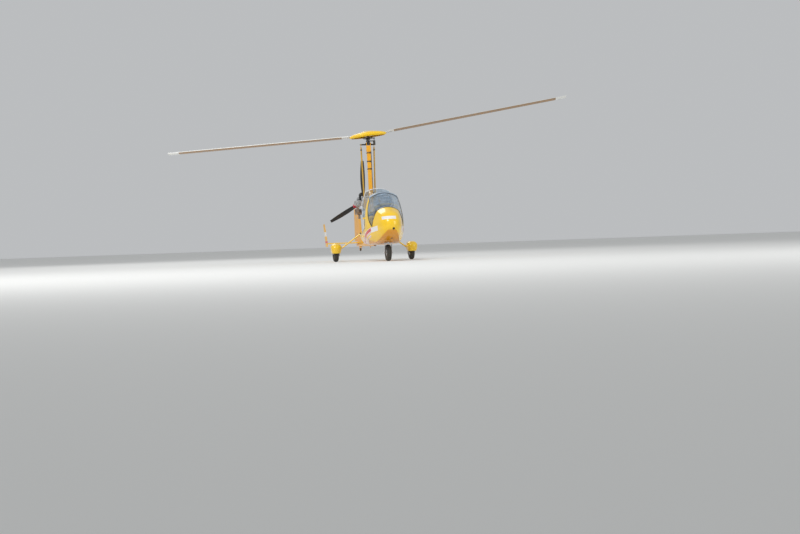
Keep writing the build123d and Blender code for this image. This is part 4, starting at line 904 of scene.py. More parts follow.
class Skin:
    """The outer surface of some CAD nodes, to set pieces on."""

    def __init__(self, nodes: Iterable[Piece]) -> None:
        """Gathers the nodes' triangles.

        Args:
            nodes: The nodes.
        """
        points: list[Vector] = []
        faces: list[tuple[int, ...]] = []
        for node in nodes:
            start = len(points)
            points += [vertex.co.copy() for vertex in node.data.vertices]
            faces += [tuple(start + index for index in polygon.vertices) for polygon in node.data.polygons]
        self.tree = BVHTree.FromPolygons(points, faces)

    def hit(self, start: Vector, towards: Vector) -> tuple[Vector, Vector] | None:
        """First point of the surface on a line.

        Args:
            start: Where the line begins, outside the surface.
            towards: A point that it passes through.

        Returns:
            The point and the outward direction there, or None.
        """
        run = (towards - start).normalized()
        point, normal, _, _ = self.tree.ray_cast(start, run)
        if point is None:
            return None
        return point, normal if normal.dot(run) < 0 else -normal

    def hits(self, goals: Sequence[Vector], *ways: Vector) -> Places:
        """Points of the surface, with their outward directions, found from each way to each goal inside it."""
        found = [self.hit(goal + way, goal) for goal in goals for way in ways]
        return [item for item in found if item]


# Geometry Nodes work


def spread(sheet: Sheet, mesh: Socket, given: bpy.types.NodeOutputs, out: Node) -> None:
    """Sets a mesh on each point, its Z along the stored direction, and paints it.

    Args:
        sheet: The tree's sheet.
        mesh: The mesh.
        given: The sockets that the tree is given.
        out: The tree's output node.
    """
    stored = sheet.add("GeometryNodeInputNamedAttribute", data_type="FLOAT_VECTOR")
    sheet.fill(stored, Name="outward")
    align = sheet.add("FunctionNodeAlignRotationToVector", axis="Z")
    sheet.fill(align, Vector=stored.outputs["Attribute"])
    copies = sheet.add("GeometryNodeInstanceOnPoints")
    sheet.fill(copies, Points=given["Geometry"], Instance=mesh, Rotation=align.outputs[0])
    realize = sheet.add("GeometryNodeRealizeInstances")
    sheet.fill(realize, Geometry=copies.outputs[0])
    paint = sheet.add("GeometryNodeSetMaterial")
    sheet.fill(paint, Geometry=realize.outputs[0], Material=given["Finish"])
    sheet.fill(out, Geometry=paint.outputs[0])


class Rows:
    """Repeated small pieces, made by Geometry Nodes on points that carry a direction."""

    def __init__(self) -> None:
        """Builds the trees once."""
        self.heads = self._heads_tree()
        self.slats = self._slats_tree()

    @staticmethod
    def _heads_tree() -> Tree:
        """Makes the tree that sets a tapered fastener head on each point.

        Returns:
            The tree.
        """
        tree, sheet, given, out = start_tree(
            "Geometry",
            "fastener_heads",
            (
                ("Geometry", "Geometry", None),
                ("Head radius", "Float", 0.004),
                ("Head height", "Float", 0.002),
                ("Sides", "Int", 12),
                ("Finish", "Material", None),
            ),
            (("Geometry", "Geometry"),),
        )
        head = sheet.add("GeometryNodeMeshCone", fill_type="NGON")
        top = sheet.math("MULTIPLY", given["Head radius"], 0.72)
        sheet.fill(head, Vertices=given["Sides"], Radius_Bottom=given["Head radius"], Radius_Top=top)
        sheet.fill(head, Depth=given["Head height"])
        spread(sheet, head.outputs["Mesh"], given, out)
        return tree

    @staticmethod
    def _slats_tree() -> Tree:
        """Makes the tree that sets a thin bar on each point, its length along the stored direction.

        Returns:
            The tree.
        """
        tree, sheet, given, out = start_tree(
            "Geometry",
            "thin_slats",
            (
                ("Geometry", "Geometry", None),
                ("Length", "Float", 0.2),
                ("Width", "Float", 0.01),
                ("Thickness", "Float", 0.001),
                ("Finish", "Material", None),
            ),
            (("Geometry", "Geometry"),),
        )
        size = sheet.add("ShaderNodeCombineXYZ")
        sheet.fill(size, X=given["Thickness"], Y=given["Width"], Z=given["Length"])
        bar = sheet.add("GeometryNodeMeshCube")
        sheet.fill(bar, Size=size.outputs[0])
        spread(sheet, bar.outputs["Mesh"], given, out)
        return tree

    @staticmethod
    def run(name: str, tree: Tree, points: Places, body: str, values: dict[str, object]) -> None:
        """Runs a tree on points and keeps the plain mesh.

        Args:
            name: The piece's name.
            tree: The tree.
            points: Each point with its direction.
            body: The body that the piece rides on.
            values: The tree's inputs by name.
        """
        mesh = bpy.data.meshes.new(name)
        mesh.from_pydata([tuple(point) for point, _ in points], [], [])
        outward = mesh.attributes.new("outward", "FLOAT_VECTOR", "POINT")
        for item, (_, direction) in zip(outward.data, points):
            item.vector = direction.normalized()
        piece = stand(name, mesh)
        modifier = piece.modifiers.new("rows", "NODES")
        modifier.node_group = tree
        for item in tree.interface.items_tree:
            if item.item_type == "SOCKET" and item.in_out == "INPUT" and item.name in values:
                modifier[item.identifier] = values[item.name]
        apply_modifiers(piece)
        piece.data.name = name
        ride(piece, body)


@dataclass
class Workshop:
    """What every sub-assembly needs: the frame, the paints and the row maker."""

    nodes: dict[str, Piece]
    paint: dict[str, bpy.types.Material]
    rows: Rows
    skins: dict[tuple[str, ...], Skin] = field(default_factory=dict)

    def coat(self, finish: str, *names: str) -> None:
        """Puts one finish on some CAD nodes.

        Args:
            finish: The finish.
            *names: The nodes.
        """
        for node in (self.nodes[name] for name in names):
            if not node.material_slots:
                node.data.materials.append(self.paint[finish])
            for place in node.material_slots:
                place.material = self.paint[finish]

    def skin(self, *names: str) -> Skin:
        """Surface of some CAD nodes, gathered once.

        Args:
            *names: The nodes.

        Returns:
            Their surface.
        """
        if names not in self.skins:
            self.skins[names] = Skin(self.nodes[name] for name in names)
        return self.skins[names]

    def settle(self, name: str, shape: Shape, finish: str, body: str = "airframe") -> Piece:
        """Turns a shape into a finished piece that rides on a body.

        Args:
            name: The piece's name.
            shape: Its mesh, which is freed.
            finish: Its finish.
            body: The body that it rides on.

        Returns:
            The piece.
        """
        bmesh.ops.remove_doubles(shape, verts=shape.verts, dist=WELD_DISTANCE)
        bmesh.ops.recalc_face_normals(shape, faces=shape.faces)
        mesh = bpy.data.meshes.new(name)
        shape.to_mesh(mesh)
        shape.free()
        mesh.materials.append(self.paint[finish])
        mesh.shade_smooth()
        mesh.set_sharp_from_angle(angle=SHARP_ANGLE)
        piece = stand(name, mesh)
        ride(piece, body)
        return piece

    def fasteners(
        self, name: str, points: Places, radius: float, height: float, sides: int = 12, body: str = "airframe"
    ) -> None:
        """Sets steel fastener heads of a radius and height on points that carry their outward direction."""
        values = {"Head radius": radius, "Head height": height, "Sides": sides, "Finish": self.paint["steel"]}
        self.rows.run(name, self.rows.heads, points, body, values)

    def bars(
        self, name: str, points: Places, finish: str, size: tuple[float, float, float], body: str = "airframe"
    ) -> None:
        """Sets thin bars of a length, width and thickness on points that carry the bar's direction."""
        values = {"Length": size[0], "Width": size[1], "Thickness": size[2], "Finish": self.paint[finish]}
        self.rows.run(name, self.rows.slats, points, body, values)


# Sub-assemblies


@dataclass
class Pod:
    """Body shell, windscreens, instrument panel and sticks."""

    shop: Workshop
    seam_top: tuple[float, float] = (1.915, 1.075)
    notch: tuple[float, float] = (1.820, 0.684)
    rim_top: tuple[float, float] = (1.512, 1.400)
    rim_middle: tuple[float, float] = (1.572, 0.930)
    sill: tuple[tuple[float, float], ...] = (
        (1.430, 0.673),
        (1.390, 0.672),
        (1.080, 0.612),
        (0.700, 0.565),
        (0.300, 0.562),
        (0.070, 0.590),
    )
    seal_radius: float = 0.006
    dial_radius: float = 0.04
    panel_station: float = 1.7
    panel_height: float = 0.9
    panel_lean: float = math.radians(15)
    dial_spread: float = 0.11
    stick_stations: tuple[float, ...] = (1.56, 0.78)
    grip_foot: float = 0.675
    grip_top: float = 0.777
    rib_step: float = 0.0125
    rear_screen_station: float = 0.8
    rear_screen_foot: float = 0.905
    rear_screen_middle: float = 1.1

    def build(self) -> None:
        """Dresses the pod."""
        self.shop.coat("pod", "body_shell")
        self.shop.coat("rim", "windscreen_rim")
        self.shop.coat("yellow_shell", "seat_bulkhead")
        self.shop.coat("glass", "windscreen", "rear_windscreen")
        self.shop.coat("white_shell", "seat_shells")
        self.shop.coat("black_plastic", "instrument_panel")
        self.shop.coat("black_metal", "control_sticks", "pitot_tube")
        self.nose_seal()
        self.rim_seal()
        self.rim_screws()
        self.round_openings()
        self.dials()
        self.switches()
        self.grips()
        self.rear_edge()
        self.rear_screws()
        self.sill_trim()

    def seam_points(self, lift: float) -> Places:
        """Points round the dome's seam, each with its outward direction.

        Args:
            lift: Distance above the surface.

        Returns:
            The points from starboard to port.
        """
        skin = self.shop.skin("body_shell", "windscreen")
        middle = at(self.notch[0], 0, self.notch[1])
        slope = (at(self.seam_top[0], 0, self.seam_top[1]) - middle).normalized()
        points = []
        for step in range(61):
            turn = math.pi * step / 60
            way = PORT * -math.cos(turn) + slope * math.sin(turn)
            found = skin.hit(middle + way * 2 - AHEAD * 0.002, middle - AHEAD * 0.002)
            if found:
                points.append((found[0] + found[1] * lift, found[1]))
        return points

    def nose_seal(self) -> None:
        """Makes the dark seal between the dome and the windscreen."""
        shape = bmesh.new()
        tube(shape, [point for point, _ in self.seam_points(0.0)], self.seal_radius, 8)
        self.shop.settle("dome_seal", shape, "seal")

    def rim_path(self, behind: float) -> Places:
        """Points along the rim's front edge, from the starboard notch over the top to port.

        Args:
            behind: Distance behind the edge.

        Returns:
            The points on the outer surface with their outward directions.
        """
        skin = self.shop.skin("windscreen_rim", "windscreen", "body_shell")
        rise = []
        for station, height in arc(self.notch, self.rim_middle, self.rim_top, 44):
            goal = at(station - behind, 0, height)
            found = skin.hit(goal - PORT * 2, goal)
            if found and found[0].y < -0.12:
                rise.append(found)
        last = rise[-1][0]
        over = skin.hits([Vector((last.x, last.y * (1 - step / 5), 0.5)) for step in range(1, 10)], UP * 2)
        flip = [(Vector((p.x, -p.y, p.z)), Vector((n.x, -n.y, n.z))) for p, n in reversed(rise)]
        return rise + over + flip

    def rim_seal(self) -> None:
        """Makes the dark seal along the rim's front edge."""
        shape = bmesh.new()
        tube(shape, [point - normal * 0.001 for point, normal in self.rim_path(-0.004)], 0.005, 8)
        self.shop.settle("rim_seal", shape, "seal")

    def round_openings(self) -> None:
        """Makes the small round opening with its ring in the belly and the one round the pitot tube."""
        skin = self.shop.skin("body_shell")
        places = skin.hits([at(2.0, 0.03, 0.62)], AHEAD * 0.5 - UP * 0.9)
        places += skin.hits([at(2.2, 0.035, 0.655)], AHEAD * 0.9 - UP * 0.1)
        rings, wells = bmesh.new(), bmesh.new()
        for centre, out in places:
            lathe(rings, ((0.017, -0.003), (0.017, 0.002), (0.021, 0.003), (0.024, -0.001)), centre, out, 32)
            lathe(wells, ((0, 0.0008), (0.0175, 0.0012), (0.0175, -0.003), (0, -0.003)), centre, out, 32)
        self.shop.settle("belly_opening_rings", rings, "black_metal")
        self.shop.settle("belly_opening_wells", wells, "seal")

    def rim_screws(self) -> None:
        """Makes the screws that hold the windscreen to its rim and to the dome."""
        points = self.seam_points(0.0)[3:-3:6] + self.rim_path(0.016)[4:-4:7]
        self.shop.fasteners("windscreen_screws", points, 0.006, 0.0025)

    def panel_axes(self) -> tuple[Vector, Vector, Vector]:
        """The middle of the panel, the direction that it faces and the one that leads up it."""
        ahead, rise = math.cos(self.panel_lean), math.sin(self.panel_lean)
        return at(self.panel_station, 0, self.panel_height), Vector((-ahead, 0, rise)), Vector((rise, 0, ahead))

    def dials(self) -> None:
        """Makes the two round instruments with their rings, faces, marks and needles."""
        middle, face_way, up = self.panel_axes()
        across = face_way.cross(up)
        radius = self.dial_radius
        marks = []
        rings, faces, needles = bmesh.new(), bmesh.new(), bmesh.new()
        for side in Side:
            centre = middle + PORT * (self.dial_spread * side.value) + up * 0.01
            ring = (radius - 0.003, -0.004), (radius - 0.002, 0.003), (radius + 0.004, 0.004), (radius + 0.006, 0)
            face = (0, -0.004), (radius - 0.001, -0.004), (radius - 0.001, -0.02), (0, -0.02)
            lathe(rings, ring, centre, face_way)
            lathe(faces, face, centre, face_way)
            ticks = spokes(24, up, across)
            marks += [(centre + way * (radius - 0.009) - face_way * 0.0032, way) for way in ticks]
            lean = up * math.cos(0.8) + across * math.sin(0.8) * side.value
            ends = centre - lean * 0.008 - face_way * 0.002, centre + lean * 0.025 - face_way * 0.002
            tube(needles, ends, 0.0009, 6)
        self.shop.settle("dial_rings", rings, "black_metal")
        self.shop.settle("dial_faces", faces, "dial_face")
        self.shop.settle("dial_needles", needles, "dial_mark")
        self.shop.bars("dial_marks", marks, "dial_mark", (0.006, 0.0012, 0.0006))

    def sill_trim(self) -> None:
        """Makes the rubber trim on both sills of the cockpit."""
        skin = self.shop.skin("body_shell")
        shape = bmesh.new()
        line = curved([Vector((station, 0, height)) for station, height in self.sill], 10)
        for side in Side:
            points = []
            for place in line:
                for step in range(40):
                    goal = at(place.x, 0, place.z + 0.02 - 0.001 * step)
                    found = skin.hit(goal + PORT * side.value, goal + PORT * side.value * 0.15)
                    if found and found[0].y * side.value > 0.15:
                        points.append(found[0] - PORT * (side.value * 0.004))
                        break
            tube(shape, points, 0.0062, 8)
        self.shop.settle("sill_trim", shape, "seal")

    def switches(self) -> None:
        """Makes the row of switches and the blank radio with its knobs on the panel."""
        centre, face_way, up = self.panel_axes()
        turn = Matrix((face_way, PORT, up)).transposed()
        levers, faces, knobs = bmesh.new(), bmesh.new(), bmesh.new()
        nuts = []
        for index in range(6):
            foot = centre + PORT * (0.028 * (index - 2.5)) - up * 0.075
            nuts.append((foot + face_way * 0.001, face_way))
            tube(levers, [foot, foot + face_way * 0.014 + up * 0.004], 0.0022, 8)
        block(faces, centre + face_way * 0.003 + up * 0.002, Vector((0.006, 0.105, 0.044)), turn, 0.0015)
        for side in Side:
            knob = centre + face_way * 0.006 + PORT * (side.value * 0.038) - up * 0.006
            lathe(knobs, ((0, 0.012), (0.006, 0.012), (0.0075, 0), (0, 0)), knob, face_way, 20)
        self.shop.settle("switch_levers", levers, "steel")
        self.shop.settle("radio_face", faces, "dial_face")
        self.shop.settle("radio_knobs", knobs, "black_plastic")
        self.shop.fasteners("switch_nuts", nuts, 0.005, 0.003, 6)

    def grips(self) -> None:
        """Makes the ribs and the button of each control stick's grip."""
        ribs, buttons = bmesh.new(), bmesh.new()
        for station in self.stick_stations:
            for step in range(7):
                ring = at(station, 0, self.grip_foot + self.rib_step * step)
                lathe(ribs, ((0.0165, -0.002), (0.0185, -0.001), (0.0185, 0.001), (0.0165, 0.002)), ring, UP, 24)
            top = at(station, 0, self.grip_top)
            lathe(buttons, ((0.0075, -0.001), (0.0075, 0.004), (0.006, 0.006), (0, 0.006)), top, UP, 20)
        self.shop.settle("grip_ribs", ribs, "seal")
        self.shop.settle("grip_buttons", buttons, "red_button")

    def rear_screws(self) -> None:
        """Makes the screws along the foot of the rear windscreen."""
        skin = self.shop.skin("rear_windscreen", "seat_bulkhead")
        station, height = self.rear_screen_station, self.rear_screen_foot
        points = skin.hits([at(station, 0.07 * (step - 4), height) for step in range(9)], AHEAD * 0.4)
        self.shop.fasteners("rear_screen_screws", points, 0.006, 0.003)

    def rear_edge(self) -> None:
        """Makes the white edging round the rear windscreen."""
        skin = self.shop.skin("rear_windscreen")
        edge = []
        for step in range(81):
            turn = math.radians(-24 + 228 * step / 80)
            near, far = 0.05, 0.7
            for _ in range(12):
                reach = (near + far) / 2
                goal = Vector((0, math.cos(turn) * reach, self.rear_screen_middle + math.sin(turn) * reach))
                if skin.hit(goal + AHEAD * 2, goal):
                    near = reach
                else:
                    far = reach
            reach = near - 0.002
            goal = Vector((0, math.cos(turn) * reach, self.rear_screen_middle + math.sin(turn) * reach))
            sides = skin.hits([goal], AHEAD * 2, AHEAD * -2)
            if len(sides) == 2:
                edge.append((sides[0][0] + sides[1][0]) / 2)
        shape = bmesh.new()
        tube(shape, edge, 0.0065, 8)
        self.shop.settle("rear_windscreen_edging", shape, "white_edge")


@dataclass
class SeatCushion:
    """One padded cushion or back of a seat."""

    shop: Workshop
    name: str
    corners: tuple[tuple[float, float], ...]
    half_width: float
    swell: float = 0.01
    voxel: float = 0.006
    channels: tuple[float, ...] = (-0.07, 0.07)

    def shape(self) -> Piece:
        """Makes the slab that is then inflated.

        Returns:
            The slab.
        """
        shape = bmesh.new()
        ends = (-self.half_width, self.half_width)
        close_rings(shape, [[shape.verts.new((x, y, z)) for x, z in self.corners] for y in ends])
        bmesh.ops.recalc_face_normals(shape, faces=shape.faces)
        bmesh.ops.bevel(shape, geom=shape.edges[:], offset=0.014, segments=3, affect="EDGES", profile=0.5)
        mesh = bpy.data.meshes.new(self.name)
        shape.to_mesh(mesh)
        shape.free()
        return stand(self.name, mesh)

    def build(self) -> Piece:
        """Inflates the slab, caps its swell and sews the channels.

        Returns:
            The finished cushion.
        """
        piece = self.shape()
        remesh = piece.modifiers.new("remesh", "REMESH")
        remesh.mode = "VOXEL"
        remesh.voxel_size = self.voxel
        apply_modifiers(piece)
        before = [vertex.co.copy() for vertex in piece.data.vertices]
        cloth = piece.modifiers.new("cloth", "CLOTH")
        cloth.settings.use_pressure = True
        cloth.settings.uniform_pressure_force = 4
        cloth.settings.effector_weights.gravity = 0
        for frame in range(1, 21):
            bpy.context.scene.frame_set(frame)
        apply_modifiers(piece)
        bpy.context.scene.frame_set(1)
        for vertex, start in zip(piece.data.vertices, before):
            move = vertex.co - start
            if move.length > self.swell:
                vertex.co = start + move.normalized() * self.swell
        normals = [vertex.normal.copy() for vertex in piece.data.vertices]
        for vertex, normal in zip(piece.data.vertices, normals):
            for line in self.channels:
                gap = (vertex.co.y - line) / 0.006
                if abs(gap) < 3:
                    vertex.co -= normal * (0.005 * math.exp(-gap * gap))
        smooth = piece.modifiers.new("smooth", "SUBSURF")
        smooth.levels = 1
        smooth.render_levels = 1
        apply_modifiers(piece)
        piece.data.materials.append(self.shop.paint["pad"])
        piece.data.shade_smooth()
        ride(piece, "airframe")
        return piece


@dataclass(frozen=True)
class SeatRow:
    """Side view of one seat's pads: places along X and heights."""

    rear_x: float
    front_x: float
    foot_z: float
    top_z: float
    back_foot_x: float
    back_top_x: float
    back_foot_z: float
    back_top_z: float


@dataclass
class Seats:
    """Cushions, backs and harnesses of both seats."""

    shop: Workshop
    half_width: float = 0.185
    rows: dict[str, SeatRow] = field(
        default_factory=lambda: {
            "front": SeatRow(1.175, 1.512, 0.508, 0.566, 1.105, 1.055, 0.512, 0.895),
            "rear": SeatRow(0.305, 0.682, 0.528, 0.586, 0.235, 0.165, 0.532, 1.03),
        }
    )
    front_rise: float = 0.015
    back_narrowing: float = 0.008
    strap_width: float = 0.045

    def build(self) -> None:
        """Makes the pads and straps of both seats."""
        half = self.half_width
        back_half = half - self.back_narrowing
        for name, row in self.rows.items():
            front_top = row.top_z + self.front_rise
            seat = (
                (row.rear_x, row.foot_z),
                (row.front_x, row.foot_z + self.front_rise),
                (row.front_x, front_top),
                (row.rear_x, row.top_z),
            )
            rest = (
                (row.back_foot_x + 0.006, row.back_foot_z),
                (row.back_foot_x + 0.05, row.back_foot_z),
                (row.back_top_x + 0.04, row.back_top_z),
                (row.back_top_x + 0.008, row.back_top_z),
            )
            cushion = SeatCushion(self.shop, f"{name}_cushion", seat, half).build()
            back = SeatCushion(self.shop, f"{name}_backrest", rest, back_half).build()
            skin = Skin((cushion, back))
            welts = bmesh.new()
            start, end = Vector((row.rear_x, 0, row.top_z)), Vector((row.front_x, 0, front_top))
            self.piping(welts, skin, start, end, half, UP)
            lean = Vector((row.back_top_z - row.back_foot_z, 0, row.back_foot_x + 0.01 - row.back_top_x)).normalized()
            low, high = (Vector((x, 0, z)) for x, z in rest[1:3])
            self.piping(welts, skin, low, high, back_half, lean)
            self.shop.settle(f"{name}_piping", welts, "piping")
            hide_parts(f"{name}_seat_pads")
            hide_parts(f"{name}_seat_pads")
            self.harness(name, row, skin)

    @staticmethod
    def piping(shape: Shape, skin: Skin, start: Vector, end: Vector, half: float, facing: Vector) -> None:
        """Adds the sewn welt round the face of a pad.

        Args:
            shape: The mesh to add to.
            skin: The pads' surface.
            start: Middle of the face's first edge.
            end: Middle of its last edge.
            half: Half the pad's width.
            facing: Direction that the face looks in.
        """
        run = (end - start).normalized()
        middle = (start + end) / 2
        reach = (end - start).length / 2
        loop = []
        for step in range(72):
            turn = math.tau * step / 72
            square = max(abs(math.cos(turn)), abs(math.sin(turn)))
            across, along = math.cos(turn) / square, math.sin(turn) / square
            out = (PORT * across + run * along).normalized()
            goal = middle + PORT * (across * (half - 0.016)) + run * (along * (reach - 0.016)) - facing * 0.016
            found = skin.hit(goal + (out + facing) * 0.12, goal)
            if found:
                loop.append(found[0] + found[1] * 0.0008)
        tube(shape, loop + loop[:2], 0.0038, 8)

    def harness(self, name: str, row: SeatRow, skin: Skin) -> None:
        """Lays the shoulder and lap straps on the pads.

        Args:
            name: The seat.
            row: Its side view.
            skin: The surface of its finished pads.
        """
        buckle = Vector((row.back_foot_x + 0.15, 0, row.top_z))
        straps = bmesh.new()
        for side in Side:
            shoulder = []
            for step in range(15):
                t = step / 14
                height = row.back_top_z - 0.02 - (row.back_top_z - row.back_foot_z - 0.12) * t
                y = side.value * (0.09 - 0.05 * t)
                goal = Vector((row.back_foot_x - 0.2, y, height))
                shoulder += [point + out * 0.002 for point, out in skin.hits([goal], AHEAD * 0.8)]
            shoulder.append(buckle + Vector((-0.02, side.value * 0.03, 0.035)))
            self.ribbon(straps, shoulder, AHEAD)
            lap = []
            for step in range(9):
                t = step / 8
                goal = Vector((row.back_foot_x + 0.08 + 0.07 * t, side.value * (0.17 - 0.14 * t), row.top_z))
                lap += [point + out * 0.003 for point, out in skin.hits([goal], UP * 0.5)]
            self.ribbon(straps, lap, UP)
        self.shop.settle(f"{name}_harness", straps, "webbing")
        plate = bmesh.new()
        found = skin.hit(buckle + UP * 0.5, buckle - UP * 0.5)
        base = found[0] if found else buckle
        block(plate, base + UP * 0.012, Vector((0.05, 0.062, 0.016)), bevel=0.004)
        self.shop.settle(f"{name}_buckle", plate, "steel")

    def ribbon(self, shape: Shape, points: Sequence[Vector], facing: Vector) -> None:
        """Adds a strap along points.

        Args:
            shape: The mesh to add to.
            points: Its middle line.
            facing: Direction that its flat side faces.
        """
        if len(points) < 2:
            return
        rings = []
        for index, point in enumerate(points):
            run = (points[min(index + 1, len(points) - 1)] - points[max(index - 1, 0)]).normalized()
            wide = run.cross(facing).normalized() * (self.strap_width / 2)
            thick = wide.cross(run).normalized() * 0.0011
            corners = (wide + thick, thick - wide, -wide - thick, wide - thick)
            rings.append([shape.verts.new(point + corner) for corner in corners])
        close_rings(shape, rings)


@dataclass
class Wheel:
    """One tyre with its grooves, and its rim."""

    shop: Workshop
    name: str
    body: str
    centre: Vector
    radius: float = WHEEL_RADIUS
    half_width: float = 0.05
    rim_radius: float = 0.082
    grooves: tuple[float, ...] = (-0.027, -0.0095, 0.0095, 0.027)

    def crown(self, across: float) -> float:
        """Radius of the tread at a distance from its middle."""
        curve = 0.064
        return self.radius - curve + math.sqrt(curve**2 - across**2)

    def build(self) -> None:
        """Makes the grooved tyre and coats the rim."""
        inner = self.rim_radius
        side = [
            (inner, self.half_width * 0.62),
            (inner + 0.008, self.half_width * 0.74),
            (inner + 0.02, self.half_width * 0.9),
            (inner + 0.0415, self.half_width * 0.985),
            (inner + 0.055, self.half_width * 0.95),
            (self.radius - 0.016, self.half_width * 0.84),
        ]
        tread = []
        for groove in self.grooves:
            tread += [
                (self.crown(groove - 0.0025), groove - 0.0025),
                (self.crown(groove) - 0.0045, groove - 0.0015),
                (self.crown(groove) - 0.0045, groove + 0.0015),
                (self.crown(groove + 0.0025), groove + 0.0025),
            ]
            tread.append((self.crown(groove + 0.0087), groove + 0.0087))
        profile = [(radius, -across) for radius, across in side] + tread[:-1] + list(reversed(side))
        shape = bmesh.new()
        lathe(shape, profile, self.centre, PORT, 72, closed=True)
        tyre = self.shop.settle(f"{self.name}_tread_tyre", shape, "tyre", self.body)
        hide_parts(f"tyre_{self.name}")
        self.shop.coat("aluminium", f"rim_{self.name}")
        bolts = [
            (self.centre + way * 0.052 + PORT * (side_way * 0.0062), PORT * side_way)
            for side_way in (-1, 1)
            for way in spokes(5, AHEAD, UP, 0.5)
        ]
        self.shop.fasteners(f"{self.name}_rim_bolts", bolts, 0.005, 0.004, 6, body=self.body)
        self.valve()

    def valve(self) -> None:
        """Makes the tyre's valve, on the side away from any brake."""
        shape = bmesh.new()
        out = -PORT if self.centre.y < -0.1 else PORT
        foot = self.centre + UP * 0.07 + out * 0.02
        tube(shape, [foot, foot + (out * 0.8 - UP * 0.4) * 0.02], 0.0035, 8)
        self.shop.settle(f"{self.name}_valve", shape, "seal", self.body)


@dataclass
class Brake:
    """Disc and caliper on the inner side of a main wheel."""

    shop: Workshop
    name: str
    side: Side
    disc_radius: float = 0.064
    disc_y: float = 0.757
    disc_thickness: float = 0.004
    bell_y: float = 0.771
    slot_circle: float = 0.049
    caliper_ahead: float = 0.062
    caliper_height: float = 0.044
    bridge_ahead: float = 0.0715
    bridge_y: float = 0.756

    def build(self) -> None:
        """Makes the disc, its slots and the caliper."""
        way = self.side.value
        centre = at(0, 0, WHEEL_RADIUS)
        shape = bmesh.new()
        inner = self.disc_y
        outer = inner + self.disc_thickness
        disc = (0.026, inner), (self.disc_radius, inner), (self.disc_radius, outer), (0.034, outer)
        profile = (*disc, (0.034, self.bell_y), (0.026, self.bell_y))
        lathe(shape, profile, centre, PORT * way, 64, closed=True)
        self.shop.settle(f"{self.name}_brake_disc", shape, "brake_disc", f"{self.name}_wheel")
        face = PORT * (way * (inner - 0.0001))
        slots = [(centre + out * self.slot_circle + face, out) for out in spokes(16, AHEAD, UP)]
        self.shop.bars(f"{self.name}_disc_slots", slots, "seal", (0.018, 0.0006, 0.003), f"{self.name}_wheel")
        caliper = bmesh.new()
        for y, thick in ((inner - 0.0075, 0.011), (outer + 0.0045, 0.005)):
            middle = centre + AHEAD * self.caliper_ahead + PORT * (way * y)
            block(caliper, middle, Vector((0.026, thick, self.caliper_height)), bevel=0.002)
        bridge = centre + AHEAD * self.bridge_ahead + PORT * (way * self.bridge_y)
        block(caliper, bridge, Vector((0.009, 0.028, self.caliper_height)), bevel=0.002)
        self.shop.settle(f"{self.name}_brake_caliper", caliper, "dark_metal")


@dataclass
class LandingGear:
    """Legs, fairings, fork and all the wheels."""

    shop: Workshop
    half_track: float = 0.8
    main_axle_end: float = 0.848
    nose_axle_end: float = 0.082
    leg_bolt_spread: tuple[float, ...] = (0.075, 0.11, 0.67)
    leg_bolt_stations: tuple[float, ...] = (-0.025, 0.025)
    fairing_screw_height: float = 0.262
    fairing_screw_stations: tuple[float, ...] = (-0.2, -0.1, 0.0, 0.1)

    def build(self) -> None:
        """Dresses the landing gear."""
        self.shop.coat("yellow_leg", "gear_legs")
        self.shop.coat("steel", "main_axles", "nose_fork")
        self.shop.coat("yellow_shell", "wheel_fairings")
        self.shop.coat("aluminium", "nose_housing")
        self.shop.coat("tyre", "tail_wheel")
        places = {"left": (0, self.half_track), "right": (0, -self.half_track), "nose": (NOSE_STATION, 0)}
        for name, place in places.items():
            Wheel(self.shop, name, f"{name}_wheel", at(*place, WHEEL_RADIUS)).build()
        Brake(self.shop, "left", Side.LEFT).build()
        Brake(self.shop, "right", Side.RIGHT).build()
        self.fairing_screws()
        self.axle_nuts()
        self.leg_bolts()

    def axle_nuts(self) -> None:
        """Makes the nuts on the ends of the main and nose axles."""
        main = [(at(0, side.value * self.main_axle_end, WHEEL_RADIUS), PORT * side.value) for side in Side]
        self.shop.fasteners("main_axle_nuts", main, 0.017, 0.007, 6)
        end = self.nose_axle_end
        nose = [(at(NOSE_STATION, side.value * end, WHEEL_RADIUS), PORT * side.value) for side in Side]
        self.shop.fasteners("nose_axle_nuts", nose, 0.014, 0.006, 6, body="nose_gear")

    def leg_bolts(self) -> None:
        """Makes the bolts at the root and the foot of each leg."""
        skin = self.shop.skin("gear_legs")
        across = [side.value * y for side in Side for y in self.leg_bolt_spread]
        points = skin.hits([at(station, y, 0.3) for y in across for station in self.leg_bolt_stations], UP)
        self.shop.fasteners("leg_bolts", points, 0.008, 0.006, 6)

    def fairing_screws(self) -> None:
        """Makes the screws on the fairings' outer and inner sides."""
        skin = self.shop.skin("wheel_fairings")
        points = []
        for side in Side:
            y, height = side.value * self.half_track, self.fairing_screw_height
            goals = [at(station, y, height) for station in self.fairing_screw_stations]
            for way in (-0.4, 0.4):
                points += [found for found in skin.hits(goals, PORT * way) if abs(found[1].y) > 0.4]
        self.shop.fasteners("fairing_screws", points, 0.006, 0.0025)


